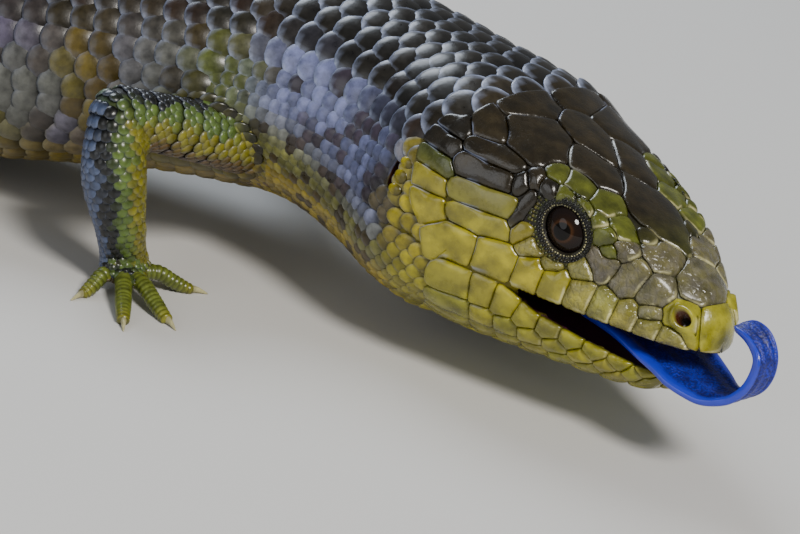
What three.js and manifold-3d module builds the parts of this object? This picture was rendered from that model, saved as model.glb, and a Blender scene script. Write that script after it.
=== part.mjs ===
// Blue-tongued skink, life size, as a still model: the animal stands on the floor with its chest
// raised, its head turned to its right, its mouth ajar and its tongue curled up over the snout.
// Millimetres, +Z up. The trunk runs along X with the head towards +X. The floor is z = 0 and the
// origin is the middle of the animal's footprint.

import * as THREE from 'three';
import Module from 'manifold-3d';

const wasm = await Module();
wasm.setup();

// Driving dimensions

const SNOUT_TIP = [238.7, -52.6, 21];   // upper lip at the front of the snout
const GAP = 0.3;                        // between neighbouring pieces
const BODY_LENGTH = 505;                // along the back, snout tip to tail tip
const MOUTH_CORNER = 41;                // lengths along the back are measured from the snout tip
const JAW_HINGE = 42.5;
const JAW_OPEN = 9.5;                   // degrees
const JAW_BLEND = 11;                   // behind the mouth corner the throat eases back to closed
const CHIN_BACK = 4;                    // the chin lies this far behind the snout tip
const HEAD_END = 60;
const NECK_END = 98;
const TORSO_CUTS = [NECK_END, 160, 222, 284];
const TAIL_CUTS = [284, 340, 400, 455, BODY_LENGTH];
const HEAD_POINTS = 48;                 // points round one section
const BODY_POINTS = 32;

// Each table pairs a length from the snout tip with a value there.
// HALF_WIDTH, ABOVE and BELOW are the body's half width and its depth above and below the spine
// line, which in the head is the line of the lips.
const HALF_WIDTH = [[0, 0.6], [1, 3.6], [3, 5.9], [6, 8], [12, 10.8], [20, 13.8], [30, 17.4],
  [42, 21], [50, 22.6], [58, 23], [70, 21.8], [90, 22.5], [115, 25.5], [160, 28], [215, 28],
  [250, 25], [275, 20.5], [300, 15.5], [340, 12.5], [400, 9], [460, 5], [495, 2.2], [505, 0.8]];
const ABOVE = [[0, 2], [1, 5], [3, 7.2], [6, 9.5], [12, 12.8], [20, 16.4], [30, 20],
  [42, 23.8], [52, 25.4], [60, 25.3], [72, 24.7], [90, 24.1], [115, 24], [160, 26], [215, 26],
  [250, 22.5], [275, 18.5], [300, 15], [340, 12], [400, 8.5], [460, 5], [495, 2.2], [505, 0.8]];
const BELOW = [[0, 0.8], [1, 2.2], [3, 3.8], [6, 5.4], [12, 7.3], [20, 9.4], [30, 12],
  [42, 15], [50, 16.4], [60, 17.2], [72, 16.8], [90, 15.4], [115, 16], [160, 18.6], [215, 17.4],
  [250, 15], [275, 13.4], [300, 12.2], [340, 10], [400, 7], [460, 4], [495, 2], [505, 0.8]];
// Roundness of the section above and below: 2 is an ellipse, more is squarer.
const SQUARE_ABOVE = [[0, 2], [6, 2.2], [12, 2.6], [25, 2.8], [45, 3], [70, 2.3], [120, 2.1], [505, 2]];
const SQUARE_BELOW = [[0, 2], [12, 2.3], [30, 2.5], [58, 2.5], [80, 2.2], [120, 2.3], [505, 2]];
// The spine's heading about +Z and its climb, in degrees, looking towards the head.
const HEADING = [[0, -35], [56, -35], [76, -26], [104, -8], [130, 0], [290, 0], [360, 14],
  [430, 10], [505, -8]];
const CLIMB = [[0, -1], [38, -1], [54, -9], [72, -9], [90, -3], [112, 3], [130, 6.5],
  [160, 7.5], [200, 7.5], [222, 3.2], [455, 3.1], [490, 1.4], [505, 1]];

// Swellings and hollows of the skin, alike on both sides: length from the snout tip, degrees round
// from the back, reach along, reach round in degrees, height.
const FORMS = [
  { name: 'nostril swelling', along: 4.2, around: 58, reach: 2.4, turn: 16, height: 0.5 },
  { name: 'edge of the snout', along: 14, around: 45, reach: 7, turn: 11, height: 1.2 },
  { name: 'hollow of the cheek', along: 14, around: 66, reach: 5, turn: 11, height: -0.7 },
  { name: 'upper lip', along: 20, around: 88, reach: 13, turn: 8, height: 0.5 },
  { name: 'brow', along: 24, around: 43, reach: 8, turn: 11, height: 1.7 },
  { name: 'rear of the brow', along: 34, around: 40, reach: 6, turn: 14, height: 0.6 },
  { name: 'eye hollow', along: 25.3, around: 60, reach: 5.4, turn: 13, height: -1 },
  { name: 'temple', along: 42, around: 62, reach: 9, turn: 16, height: 0.4 },
  { name: 'jowl', along: 47, around: 104, reach: 9, turn: 18, height: 1 },
  { name: 'fold over the armpit', along: 103, around: 84, reach: 13, turn: 10, height: 1.6 },
  { name: 'armpit', along: 98, around: 110, reach: 9, turn: 14, height: -1.8 },
  { name: 'fold over the groin', along: 262, around: 82, reach: 13, turn: 11, height: 1.2 },
];

const MOUTH = { lip: 0.86, palate: 3, floor: 2.6 };
const EYE = { along: 25.3, around: 58, radius: 4.6, proud: 1.1, opening: 3.6, lid: 4.3, lidThick: 0.85 };
const NOSTRIL = { along: 3.9, around: 58, hole: 1.05, rim: 1.7, rimThick: 0.55 };
const EAR = { along: 56.2, around: 77.5, long: 3.4, wide: 1.3, deep: 2.6 };

// The tongue's two edges in the head, each point forward of the snout tip, to the left of it and
// above the lips: it lies in the mouth, spreads over the chin and curls up in front of the snout.
const TONGUE_RIGHT = [[-24, -6, -3.2], [-16, -7, -3.2], [-9.5, -8, -3.9], [-6, -8, -4.6], [-3.2, -7.8, -5.5],
  [0, -7.2, -6], [2.6, -6.5, -6.1], [4.8, -5.8, -5.4], [7, -5, -4], [8.6, -4.3, -1.6], [9.1, -3.7, 1.1],
  [8.8, -3.4, 3.5], [7.2, -3, 4.7], [5.3, -2.8, 5.5], [3.1, -2.4, 5.7], [2.2, -1.6, 5.6]];
const TONGUE_LEFT = [[-24, 6, -3.2], [-16, 7, -3.2], [-9.5, 8, -3.6], [-6.5, 7.6, -4], [-3.6, 6.6, -4.5],
  [-0.4, 5.2, -5], [2, 3.8, -5.2], [4.2, 2.4, -4.8], [6.6, 1.4, -3.8], [8.6, 1.3, -1.8], [9.3, 1.5, 0.4],
  [9.1, 1.6, 2.9], [8.2, 1.6, 5], [6.6, 1.4, 6.6], [4.4, 0.9, 7.2], [2.8, -0.2, 6.4]];
const TONGUE_THICK = 1.7;

// Legs: joints as forward of the snout tip, left of it, height above the floor and the limb's
// radius; the third is the elbow or knee and the last the wrist or ankle. Toes, from the inner to
// the outer one, as heading on the floor in degrees, length and radius.
const LEGS = {
  fore_right: {
    names: ['upper_arm', 'forearm', 'foot'],
    joints: [[-84, 37, 22, 6], [-92, 26, 25.4, 5.2], [-104.6, 13.4, 29, 4.8],
      [-103.2, 11.8, 19.6, 5.3], [-100.4, 11.6, 10.6, 4.2]],
    palm: [-99, 12.6, 4.4], palmHeading: -50,
    toes: [[78, 6.5, 1.15], [26, 9, 1.2], [-42, 12.5, 1.3], [-70, 13.5, 1.3], [-112, 6.5, 1.2]],
  },
  fore_left: {
    names: ['upper_arm', 'forearm', 'foot'],
    joints: [[-84, 64, 22, 6], [-88, 76, 23, 5.2], [-96, 90.5, 24.5, 4.6],
      [-91, 94, 16, 5], [-85.5, 95, 9, 4]],
    palm: [-82, 96.5, 4.4], palmHeading: 28,
    toes: [[-52, 7, 1.15], [-14, 9.5, 1.2], [18, 12.5, 1.3], [46, 13, 1.3], [84, 8, 1.2]],
  },
  hind_right: {
    names: ['thigh', 'shin', 'foot'],
    joints: [[-268, 42, 13, 8], [-257, 31, 15, 7.2], [-242, 20, 17, 5.6],
      [-251, 12.5, 12, 5.2], [-260, 7, 7.6, 4]],
    palm: [-257.5, 1.5, 4.2], palmHeading: -38,
    toes: [[12, 6.5, 1.1], [-10, 9.5, 1.2], [-30, 13, 1.3], [-52, 15, 1.3], [-96, 10, 1.2]],
  },
  hind_left: {
    names: ['thigh', 'shin', 'foot'],
    joints: [[-270, 62, 13, 8], [-262, 73, 15, 7.2], [-250, 85, 17, 5.6],
      [-261, 91.5, 12, 5.2], [-272, 96, 7.6, 4]],
    palm: [-270.5, 102, 4.2], palmHeading: 46,
    toes: [[-6, 6.5, 1.1], [16, 9.5, 1.2], [38, 13, 1.3], [60, 15, 1.3], [102, 10, 1.2]],
  },
};
const LIMB_POINTS = 10;
const TOE_POINTS = 6;
const CLAW = 3;

// Colours
const OLIVE = '#4b4a33';
const YELLOW_GREEN = '#b3a341';
const SLATE = '#7d8793';
const BUFF = '#a8986a';
const BLUE = '#1d3fd0';
const EYE_BLACK = '#120d0a';

// Smooth curves through tables

function slopesOf(table) {
  const steps = table.slice(1).map((row, k) => (row[1] - table[k][1]) / (row[0] - table[k][0]));
  const slopes = [steps[0]];
  for (let k = 1; k < table.length - 1; k++) {
    const before = table[k][0] - table[k - 1][0];
    const after = table[k + 1][0] - table[k][0];
    const nearer = 2 * after + before;
    const farther = after + 2 * before;
    const turns = steps[k - 1] * steps[k] <= 0;
    slopes.push(turns ? 0 : (nearer + farther) / (nearer / steps[k - 1] + farther / steps[k]));
  }
  slopes.push(steps[steps.length - 1]);
  return slopes;
}

const slopeCache = new Map();

function valueAt(table, x) {
  if (!slopeCache.has(table)) {
    slopeCache.set(table, slopesOf(table));
  }
  const slopes = slopeCache.get(table);
  const last = table.length - 1;
  const clamped = Math.min(Math.max(x, table[0][0]), table[last][0]);
  let k = 0;
  while (k < last - 1 && clamped >= table[k + 1][0]) {
    k += 1;
  }
  const width = table[k + 1][0] - table[k][0];
  const u = (clamped - table[k][0]) / width;
  const rise = table[k][1] * (1 + 2 * u) * (1 - u) ** 2 + table[k + 1][1] * u * u * (3 - 2 * u);
  return rise + width * (slopes[k] * u * (1 - u) ** 2 + slopes[k + 1] * u * u * (u - 1));
}

function ease(u) {
  const t = Math.min(Math.max(u, 0), 1);
  return t * t * (3 - 2 * t);
}

// The spine: a line walked back from the snout tip

const UP = new THREE.Vector3(0, 0, 1);
const STEP = 0.5;

function forwardAt(along) {
  const heading = THREE.MathUtils.degToRad(valueAt(HEADING, along));
  const climb = THREE.MathUtils.degToRad(valueAt(CLIMB, along));
  const flat = Math.cos(climb);
  return new THREE.Vector3(Math.cos(heading) * flat, Math.sin(heading) * flat, Math.sin(climb));
}

const spinePoints = [new THREE.Vector3(...SNOUT_TIP)];
for (let along = STEP; along <= BODY_LENGTH + STEP; along += STEP) {
  const middle = forwardAt(along - STEP).add(forwardAt(along)).multiplyScalar(-STEP / 2);
  spinePoints.push(spinePoints[spinePoints.length - 1].clone().add(middle));
}

function spineFrame(along) {
  const place = Math.min(Math.max(along / STEP, 0), spinePoints.length - 2);
  const k = Math.floor(place);
  const centre = spinePoints[k].clone().lerp(spinePoints[k + 1], place - k);
  const forward = forwardAt(along);
  const left = new THREE.Vector3().crossVectors(UP, forward).normalize();
  const up = new THREE.Vector3().crossVectors(forward, left);
  return { centre, forward, left, up };
}

function placeAt(along, ahead, left, up) {
  const frame = spineFrame(along);
  return frame.centre.addScaledVector(frame.forward, ahead)
    .addScaledVector(frame.left, left).addScaledVector(frame.up, up);
}

// The body's section: angle 0 is the back, 90 degrees the left side, 180 the belly

function reliefAt(along, angle) {
  const around = Math.abs(THREE.MathUtils.radToDeg(Math.atan2(Math.sin(angle), Math.cos(angle))));
  return FORMS.reduce((sum, form) => {
    const far = ((along - form.along) / form.reach) ** 2 + ((around - form.around) / form.turn) ** 2;
    return sum + form.height * Math.exp(-far);
  }, 0);
}

function sectionPoint(along, angle, grow) {
  const across = Math.sin(angle);
  const upward = Math.cos(angle);
  const above = upward >= 0;
  const power = 2 / valueAt(above ? SQUARE_ABOVE : SQUARE_BELOW, along);
  const depth = valueAt(above ? ABOVE : BELOW, along);
  const left = valueAt(HALF_WIDTH, along) * Math.sign(across) * Math.abs(across) ** power;
  const up = depth * Math.sign(upward) * Math.abs(upward) ** power;
  const swell = 1 + (grow + reliefAt(along, angle)) / Math.hypot(left, up);
  return [left * swell, up * swell];
}

// The lower half of the head turns about the jaw hinge, easing back to closed behind the mouth
function openJaw(along, left, up) {
  const open = THREE.MathUtils.degToRad(JAW_OPEN) * (1 - ease((along - MOUTH_CORNER) / JAW_BLEND));
  const back = CHIN_BACK * Math.max((JAW_HINGE - along) / JAW_HINGE, 0);
  const fromHinge = JAW_HINGE - along - back;
  const ahead = fromHinge * Math.cos(open) + up * Math.sin(open) - JAW_HINGE + along;
  const height = up * Math.cos(open) - fromHinge * Math.sin(open);
  return placeAt(along, ahead, left, height);
}

function bodyPoint(along, angle, grow = 0) {
  const [left, up] = sectionPoint(along, angle, grow);
  const below = Math.cos(angle) < -1e-6;
  const point = below ? openJaw(along, left, up) : placeAt(along, 0, left, up);
  point.z = Math.max(point.z, 0);
  return point;
}

// A point on the skin with the outward normal and the directions round the body and forwards
function skinFrame(along, angleDegrees) {
  const angle = THREE.MathUtils.degToRad(angleDegrees);
  const nudge = 0.02;
  const point = bodyPoint(along, angle);
  const round = bodyPoint(along, angle + nudge).sub(bodyPoint(along, angle - nudge)).normalize();
  const ahead = bodyPoint(along - nudge, angle).sub(bodyPoint(along + nudge, angle)).normalize();
  const normal = new THREE.Vector3().crossVectors(ahead, round).normalize();
  return { point, normal, round, ahead };
}

// Closed solids

function solidOf(points, faces) {
  const vertProperties = new Float32Array(points.flatMap((point) => [point.x, point.y, point.z]));
  const triVerts = new Uint32Array(faces.flat());
  return new wasm.Manifold(new wasm.Mesh({ numProp: 3, vertProperties, triVerts }));
}

// Rings of equal size joined in order, each end closed by a fan round its middle
function solidFromRings(rings) {
  const size = rings[0].length;
  const points = rings.flat();
  const faces = [];
  for (let ring = 0; ring < rings.length - 1; ring++) {
    for (let side = 0; side < size; side++) {
      const next = (side + 1) % size;
      const near = ring * size;
      const far = near + size;
      faces.push([near + side, near + next, far + next], [near + side, far + next, far + side]);
    }
  }
  const ends = [[0, false], [(rings.length - 1) * size, true]];
  for (const [start, last] of ends) {
    const middle = new THREE.Vector3();
    for (let side = 0; side < size; side++) {
      middle.addScaledVector(points[start + side], 1 / size);
    }
    const centre = points.push(middle) - 1;
    for (let side = 0; side < size; side++) {
      const next = (side + 1) % size;
      faces.push(last ? [start + side, start + next, centre] : [start + side, centre, start + next]);
    }
  }
  return solidOf(points, faces);
}

function solidFromGeometry(geometry) {
  const position = geometry.getAttribute('position');
  const lookup = new Map();
  const points = [];
  const shared = [];
  for (let k = 0; k < position.count; k++) {
    const point = new THREE.Vector3().fromBufferAttribute(position, k);
    const key = point.toArray().map((value) => Math.round(value * 1e4)).join(',');
    if (!lookup.has(key)) {
      lookup.set(key, points.push(point) - 1);
    }
    shared.push(lookup.get(key));
  }
  const order = geometry.index ? Array.from(geometry.index.array) : shared.map((_, k) => k);
  const faces = [];
  for (let k = 0; k < order.length; k += 3) {
    const face = [shared[order[k]], shared[order[k + 1]], shared[order[k + 2]]];
    if (new Set(face).size === 3) {
      faces.push(face);
    }
  }
  return solidOf(points, faces);
}

function largestPiece(solid) {
  const pieces = solid.decompose();
  pieces.sort((one, other) => other.volume() - one.volume());
  return pieces[0];
}

function range(from, to, count) {
  return Array.from({ length: count }, (_, k) => from + (to - from) * k / (count - 1));
}

// Round bodies: the head behind the mouth, neck, torso and tail share one ring

function ringAngles(count) {
  return Array.from({ length: count }, (_, k) => 2 * Math.PI * k / count - Math.PI / 2);
}

const headAngles = ringAngles(HEAD_POINTS);
const bodyAngles = ringAngles(BODY_POINTS);

function bodyLength(from, to, spacing, grow = 0) {
  const count = Math.round((to - from) / spacing) + 1;
  const stations = range(from + GAP / 2, to - GAP / 2, count);
  return solidFromRings(stations.map((along) => bodyAngles.map((angle) => bodyPoint(along, angle, grow))));
}

// Eyes, lids, nostrils and ear cups, the same on both sides

function ballAt(centre, axes, radii, detail) {
  const geometry = new THREE.SphereGeometry(1, detail, detail / 2);
  const turn = new THREE.Matrix4().makeBasis(...axes).scale(new THREE.Vector3(...radii));
  geometry.applyMatrix4(turn.setPosition(centre));
  return solidFromGeometry(geometry);
}

function ringAt(frame, radius, thick) {
  const geometry = new THREE.TorusGeometry(radius, thick, 6, 16);
  const turn = new THREE.Matrix4().makeBasis(frame.ahead, frame.round, frame.normal);
  geometry.applyMatrix4(turn.setPosition(frame.point));
  return solidFromGeometry(geometry);
}

function eyeAt(side, grow) {
  const frame = skinFrame(EYE.along, side * EYE.around);
  const centre = frame.point.addScaledVector(frame.normal, EYE.proud - EYE.radius);
  const axes = [frame.ahead, frame.round, frame.normal];
  return ballAt(centre, axes, Array(3).fill(EYE.radius + grow), 16);
}

function pitAt(frame, radii, detail) {
  return ballAt(frame.point, [frame.ahead, frame.round, frame.normal], radii, detail);
}

function addFace(head, side) {
  const eye = skinFrame(EYE.along, side * EYE.around);
  const nose = skinFrame(NOSTRIL.along, side * NOSTRIL.around);
  const ear = skinFrame(EAR.along, side * EAR.around);
  return head.add(ringAt(eye, EYE.lid, EYE.lidThick))
    .add(ringAt(nose, NOSTRIL.rim, NOSTRIL.rimThick))
    .subtract(pitAt(eye, [EYE.opening, EYE.opening, EYE.lidThick * 2.5], 16))
    .subtract(pitAt(nose, Array(3).fill(NOSTRIL.hole), 10))
    .subtract(pitAt(ear, [EAR.wide, EAR.long, EAR.deep], 12))
    .subtract(eyeAt(side, GAP));
}

// Head: full rings behind the mouth corner, and before it a skull with a hollow palate

function skullRing(along) {
  return headAngles.map((angle) => {
    if (Math.cos(angle) > -1e-6) {
      return bodyPoint(along, angle);
    }
    const left = valueAt(HALF_WIDTH, along) * MOUTH.lip * Math.sin(angle);
    const vault = Math.min(MOUTH.palate, valueAt(ABOVE, along) / 4);
    return placeAt(along, 0, left, vault * Math.sqrt(-Math.cos(angle)));
  });
}

function fullRing(along) {
  return headAngles.map((angle) => bodyPoint(along, angle));
}

function headSolid() {
  const front = [0, 0.6, 1.15, 3, 5, 7.5, 10.5, 14, 18, 22, 26, 30, 34, 38, MOUTH_CORNER - GAP / 2];
  const rear = range(MOUTH_CORNER + GAP / 2, HEAD_END - GAP / 2, 7);
  const rings = front.map(skullRing).concat(rear.map(fullRing));
  return largestPiece(addFace(addFace(solidFromRings(rings), 1), -1));
}

// Lower jaw: the head's lower half with a sunken floor to the mouth, closed up to the corner

function jawRing(along) {
  return headAngles.map((angle) => {
    const [left, up] = sectionPoint(along, angle, 0);
    if (Math.cos(angle) < 1e-6) {
      return openJaw(along, left, up);
    }
    const sunk = Math.min(MOUTH.floor, valueAt(BELOW, along) / 3) * Math.sqrt(Math.cos(angle));
    return openJaw(along, valueAt(HALF_WIDTH, along) * MOUTH.lip * Math.sin(angle), -sunk);
  });
}

function jawSolid() {
  const stations = [0.4, 1.15, 3, 5, 8, 12, 16, 20, 25, 30, 35, MOUTH_CORNER - GAP];
  return solidFromRings(stations.map(jawRing));
}

// Sweeps: limbs, toes and the tongue are rings set along a smooth path

function sweepFrames(points, count) {
  const path = new THREE.CatmullRomCurve3(points, false, 'centripetal');
  return range(0, 1, count).map((at) => ({ centre: path.getPoint(at), travel: path.getTangent(at), at }));
}

function flatRing(centre, travel, side, wide, thick, count) {
  const rise = new THREE.Vector3().crossVectors(travel, side).normalize();
  const across = new THREE.Vector3().crossVectors(rise, travel).normalize();
  return Array.from({ length: count }, (_, k) => {
    const angle = 2 * Math.PI * k / count;
    const point = centre.clone().addScaledVector(across, wide * Math.cos(angle))
      .addScaledVector(rise, thick * Math.sin(angle));
    point.z = Math.max(point.z, 0);
    return point;
  });
}

function tableAlong(values) {
  return values.map((value, k) => [k / (values.length - 1), value]);
}

// Legs

function jointPoint([ahead, left, height]) {
  return new THREE.Vector3(SNOUT_TIP[0] + ahead, SNOUT_TIP[1] + left, height);
}

// One length of a limb, round in section, with a ball for the joint at its far end
function limbSolid(joints, grow = 0) {
  const points = joints.map(jointPoint);
  const radii = tableAlong(joints.map((joint) => joint[3] + grow));
  const path = new THREE.CatmullRomCurve3(points, false, 'centripetal');
  const last = points.length - 1;
  const side = new THREE.Vector3().crossVectors(points[last].clone().sub(points[0]), UP).normalize();
  const rings = range(0, 1, 8).map((at) => {
    const radius = valueAt(radii, at);
    return flatRing(path.getPoint(at), path.getTangent(at), side, radius, radius, LIMB_POINTS);
  });
  const axes = [new THREE.Vector3(1, 0, 0), new THREE.Vector3(0, 1, 0), UP];
  const ball = ballAt(points[last], axes, Array(3).fill(joints[last][3] + grow), LIMB_POINTS);
  return solidFromRings(rings).add(ball);
}

function onFloor(degrees) {
  const turn = THREE.MathUtils.degToRad(degrees);
  return new THREE.Vector3(Math.cos(turn), Math.sin(turn), 0);
}

// A toe arches over its two knuckles to the floor and ends in a claw
function toeSolid(root, [heading, length, radius]) {
  const out = onFloor(heading);
  const side = new THREE.Vector3().crossVectors(out, UP);
  const heights = [root.z, root.z + 0.5, radius + 0.5, radius * 0.5, 0.5, 0.15];
  const reaches = [-radius, length * 0.32, length * 0.66, length, length + CLAW * 0.55, length + CLAW];
  const points = reaches.map((reach, k) => {
    const point = root.clone().addScaledVector(out, reach);
    return point.setZ(heights[k]);
  });
  const radii = tableAlong([1.05, 1, 0.95, 0.7, 0.4, 0.1].map((share) => radius * share));
  return solidFromRings(sweepFrames(points, 8).map(({ centre, travel, at }) => {
    const thick = valueAt(radii, at);
    return flatRing(centre, travel, side, thick, thick, TOE_POINTS);
  }));
}

function footSolid(leg) {
  const ankle = jointPoint(leg.joints[4]);
  const palm = jointPoint(leg.palm);
  const out = onFloor(leg.palmHeading);
  const side = new THREE.Vector3().crossVectors(out, UP);
  const front = palm.clone().addScaledVector(out, 3).setZ(2.6);
  const wide = tableAlong([leg.joints[4][3], 4, 4.4, 3.2]);
  const thick = tableAlong([leg.joints[4][3], 3.2, 2.5, 1.8]);
  const frames = sweepFrames([ankle, ankle.clone().lerp(palm, 0.55), palm, front], 7);
  const sole = solidFromRings(frames.map(({ centre, travel, at }) =>
    flatRing(centre, travel, side, valueAt(wide, at), valueAt(thick, at), LIMB_POINTS)));
  return leg.toes.reduce((foot, toe) => {
    const turn = THREE.MathUtils.degToRad(toe[0] - leg.palmHeading);
    const root = palm.clone().addScaledVector(out, 2.4 * Math.cos(turn))
      .addScaledVector(side, -3 * Math.sin(turn)).setZ(2.6);
    return foot.add(toeSolid(root, toe));
  }, sole);
}

function legSolids(leg, body) {
  const upper = leg.joints.slice(0, 3);
  const lower = leg.joints.slice(2);
  return [limbSolid(upper).subtract(body), limbSolid(lower).subtract(limbSolid(upper, GAP)),
    footSolid(leg).subtract(limbSolid(lower, GAP))].map(largestPiece);
}

// Tongue: a ribbon with rounded rims between its two edges

function inHead([ahead, left, up]) {
  const head = spineFrame(0);
  return head.centre.addScaledVector(head.forward, ahead).addScaledVector(head.left, left)
    .addScaledVector(head.up, up);
}

function tongueSolid() {
  const right = new THREE.CatmullRomCurve3(TONGUE_RIGHT.map(inHead), false, 'centripetal');
  const left = new THREE.CatmullRomCurve3(TONGUE_LEFT.map(inHead), false, 'centripetal');
  const rings = range(0, 1, 28).map((at) => {
    const near = right.getPoint(at);
    const far = left.getPoint(at);
    const travel = right.getTangent(at).add(left.getTangent(at)).normalize();
    const wide = near.distanceTo(far) / 2;
    const thick = TONGUE_THICK / 2 * Math.min(1, 0.5 + 4 * (1 - at));
    return flatRing(near.clone().lerp(far, 0.5), travel, near.clone().sub(far), wide, thick, 12);
  });
  return solidFromRings(rings);
}

// Assembly

const skink = new THREE.Group();

function addNode(name, solid, colour, roughness) {
  const mesh = solid.getMesh();
  const geometry = new THREE.BufferGeometry();
  const points = new Float32Array(mesh.numVert * 3);
  for (let k = 0; k < mesh.numVert; k++) {
    points.set(mesh.vertProperties.subarray(k * mesh.numProp, k * mesh.numProp + 3), k * 3);
  }
  geometry.setAttribute('position', new THREE.BufferAttribute(points, 3));
  geometry.setIndex(Array.from(mesh.triVerts));
  geometry.computeVertexNormals();
  const material = new THREE.MeshStandardMaterial({ color: colour, roughness, metalness: 0 });
  const node = new THREE.Mesh(geometry, material);
  node.name = name;
  skink.add(node);
}

addNode('head', headSolid(), OLIVE, 0.5);
addNode('lower_jaw', jawSolid(), YELLOW_GREEN, 0.5);
addNode('tongue', tongueSolid(), BLUE, 0.45);
addNode('eye_left', eyeAt(1, 0), EYE_BLACK, 0.05);
addNode('eye_right', eyeAt(-1, 0), EYE_BLACK, 0.05);
addNode('neck', bodyLength(HEAD_END, NECK_END, 7), SLATE, 0.55);
const torsoNames = ['torso_front', 'torso_middle', 'torso_rear'];
torsoNames.forEach((name, k) => {
  addNode(name, bodyLength(TORSO_CUTS[k], TORSO_CUTS[k + 1], 9), BUFF, 0.55);
});
const tailNames = ['tail_base', 'tail_middle', 'tail_rear', 'tail_tip'];
tailNames.forEach((name, k) => {
  addNode(name, bodyLength(TAIL_CUTS[k], TAIL_CUTS[k + 1], 11), BUFF, 0.55);
});
const shoulders = bodyLength(HEAD_END, TORSO_CUTS[1], 7, GAP);
const hips = bodyLength(TORSO_CUTS[2], TAIL_CUTS[1], 9, GAP);
for (const [name, leg] of Object.entries(LEGS)) {
  const body = name.startsWith('fore') ? shoulders : hips;
  legSolids(leg, body).forEach((solid, k) => addNode(`${name}_${leg.names[k]}`, solid, BUFF, 0.55));
}

export default skink;
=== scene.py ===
# Blue-tongued skink, life size, as a still museum model: chest raised, head turned to its right,
# mouth ajar and the blue tongue curled up over the snout. Lengths are millimetres until a mesh is made.

import math

import bpy
import numpy as np
from mathutils import Matrix, Vector
from mathutils.bvhtree import BVHTree
from mathutils.kdtree import KDTree


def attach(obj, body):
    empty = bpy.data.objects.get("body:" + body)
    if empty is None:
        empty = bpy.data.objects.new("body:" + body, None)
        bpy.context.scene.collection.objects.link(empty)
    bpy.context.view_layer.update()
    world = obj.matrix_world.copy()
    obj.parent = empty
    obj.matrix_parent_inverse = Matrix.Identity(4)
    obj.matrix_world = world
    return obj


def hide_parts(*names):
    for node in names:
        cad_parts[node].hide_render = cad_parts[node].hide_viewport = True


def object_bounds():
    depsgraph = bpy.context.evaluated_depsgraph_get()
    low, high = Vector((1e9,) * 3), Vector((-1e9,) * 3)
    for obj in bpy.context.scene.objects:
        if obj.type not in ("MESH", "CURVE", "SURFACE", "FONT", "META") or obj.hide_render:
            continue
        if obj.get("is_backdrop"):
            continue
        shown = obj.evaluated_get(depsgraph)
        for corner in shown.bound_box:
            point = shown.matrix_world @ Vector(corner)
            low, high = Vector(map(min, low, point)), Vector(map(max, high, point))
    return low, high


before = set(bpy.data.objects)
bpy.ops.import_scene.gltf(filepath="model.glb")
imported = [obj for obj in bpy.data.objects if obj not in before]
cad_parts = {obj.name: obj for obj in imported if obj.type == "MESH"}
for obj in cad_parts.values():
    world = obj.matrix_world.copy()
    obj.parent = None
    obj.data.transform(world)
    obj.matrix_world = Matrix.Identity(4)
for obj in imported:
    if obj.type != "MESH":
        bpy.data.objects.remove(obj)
cad_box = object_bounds()

# Skin: one soft skin over the whole animal, on which all scales sit. It is drawn over sections
# along the back line, with the mouth open at the front, and the legs are blended into it.

MM = 0.001
SNOUT_TIP = np.array([238.7, -52.6, 21.0])
BODY_LENGTH = 505.0
MOUTH_CORNER = 41.0
JAW_HINGE = 42.5
JAW_OPEN = math.radians(9.5)
JAW_BLEND = 11.0
CHIN_BACK = 4.0
LIP_MEETS = (23.0, 33.0)
LIP_REACH = 0.16
COAT_DEPTH = 0.6
LEG_COAT_DEPTH = 0.4
TOE_COAT_DEPTH = 0.1
FLOOR_CLEAR = 0.05

# Length from the snout tip along the back, and a half width, depth, squareness or angle there
HALF_WIDTH = [(0, 0.6), (1, 3.6), (3, 5.9), (6, 8), (12, 10.8), (20, 13.8), (30, 17.4),
              (42, 21), (50, 22.6), (58, 23), (70, 21.8), (90, 22.5), (115, 25.5), (160, 28),
              (215, 28), (250, 25), (275, 20.5), (300, 15.5), (340, 12.5), (400, 9), (460, 5),
              (495, 2.2), (505, 0.8)]
ABOVE = [(0, 2), (1, 5), (3, 7.2), (6, 9.5), (12, 12.8), (20, 16.4), (30, 20), (42, 23.8),
         (52, 25.4), (60, 25.3), (72, 24.7), (90, 24.1), (115, 24), (160, 26), (215, 26),
         (250, 22.5), (275, 18.5), (300, 15), (340, 12), (400, 8.5), (460, 5), (495, 2.2),
         (505, 0.8)]
BELOW = [(0, 0.8), (1, 2.2), (3, 3.8), (6, 5.4), (12, 7.3), (20, 9.4), (30, 12), (42, 15),
         (50, 16.4), (60, 17.2), (72, 16.8), (90, 15.4), (115, 16), (160, 18.6), (215, 17.4),
         (250, 15), (275, 13.4), (300, 12.2), (340, 10), (400, 7), (460, 4), (495, 2),
         (505, 0.8)]
SQUARE_ABOVE = [(0, 2), (6, 2.2), (12, 2.6), (25, 2.8), (45, 3), (70, 2.3), (120, 2.1), (505, 2)]
SQUARE_BELOW = [(0, 2), (12, 2.3), (30, 2.5), (58, 2.5), (80, 2.2), (120, 2.3), (505, 2)]
HEADING = [(0, -35), (56, -35), (76, -26), (104, -8), (130, 0), (290, 0), (360, 14), (430, 10),
           (505, -8)]
CLIMB = [(0, -1), (38, -1), (54, -9), (72, -9), (90, -3), (112, 3), (130, 6.5), (160, 7.5),
         (200, 7.5), (222, 3.2), (455, 3.1), (490, 1.4), (505, 1)]

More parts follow.
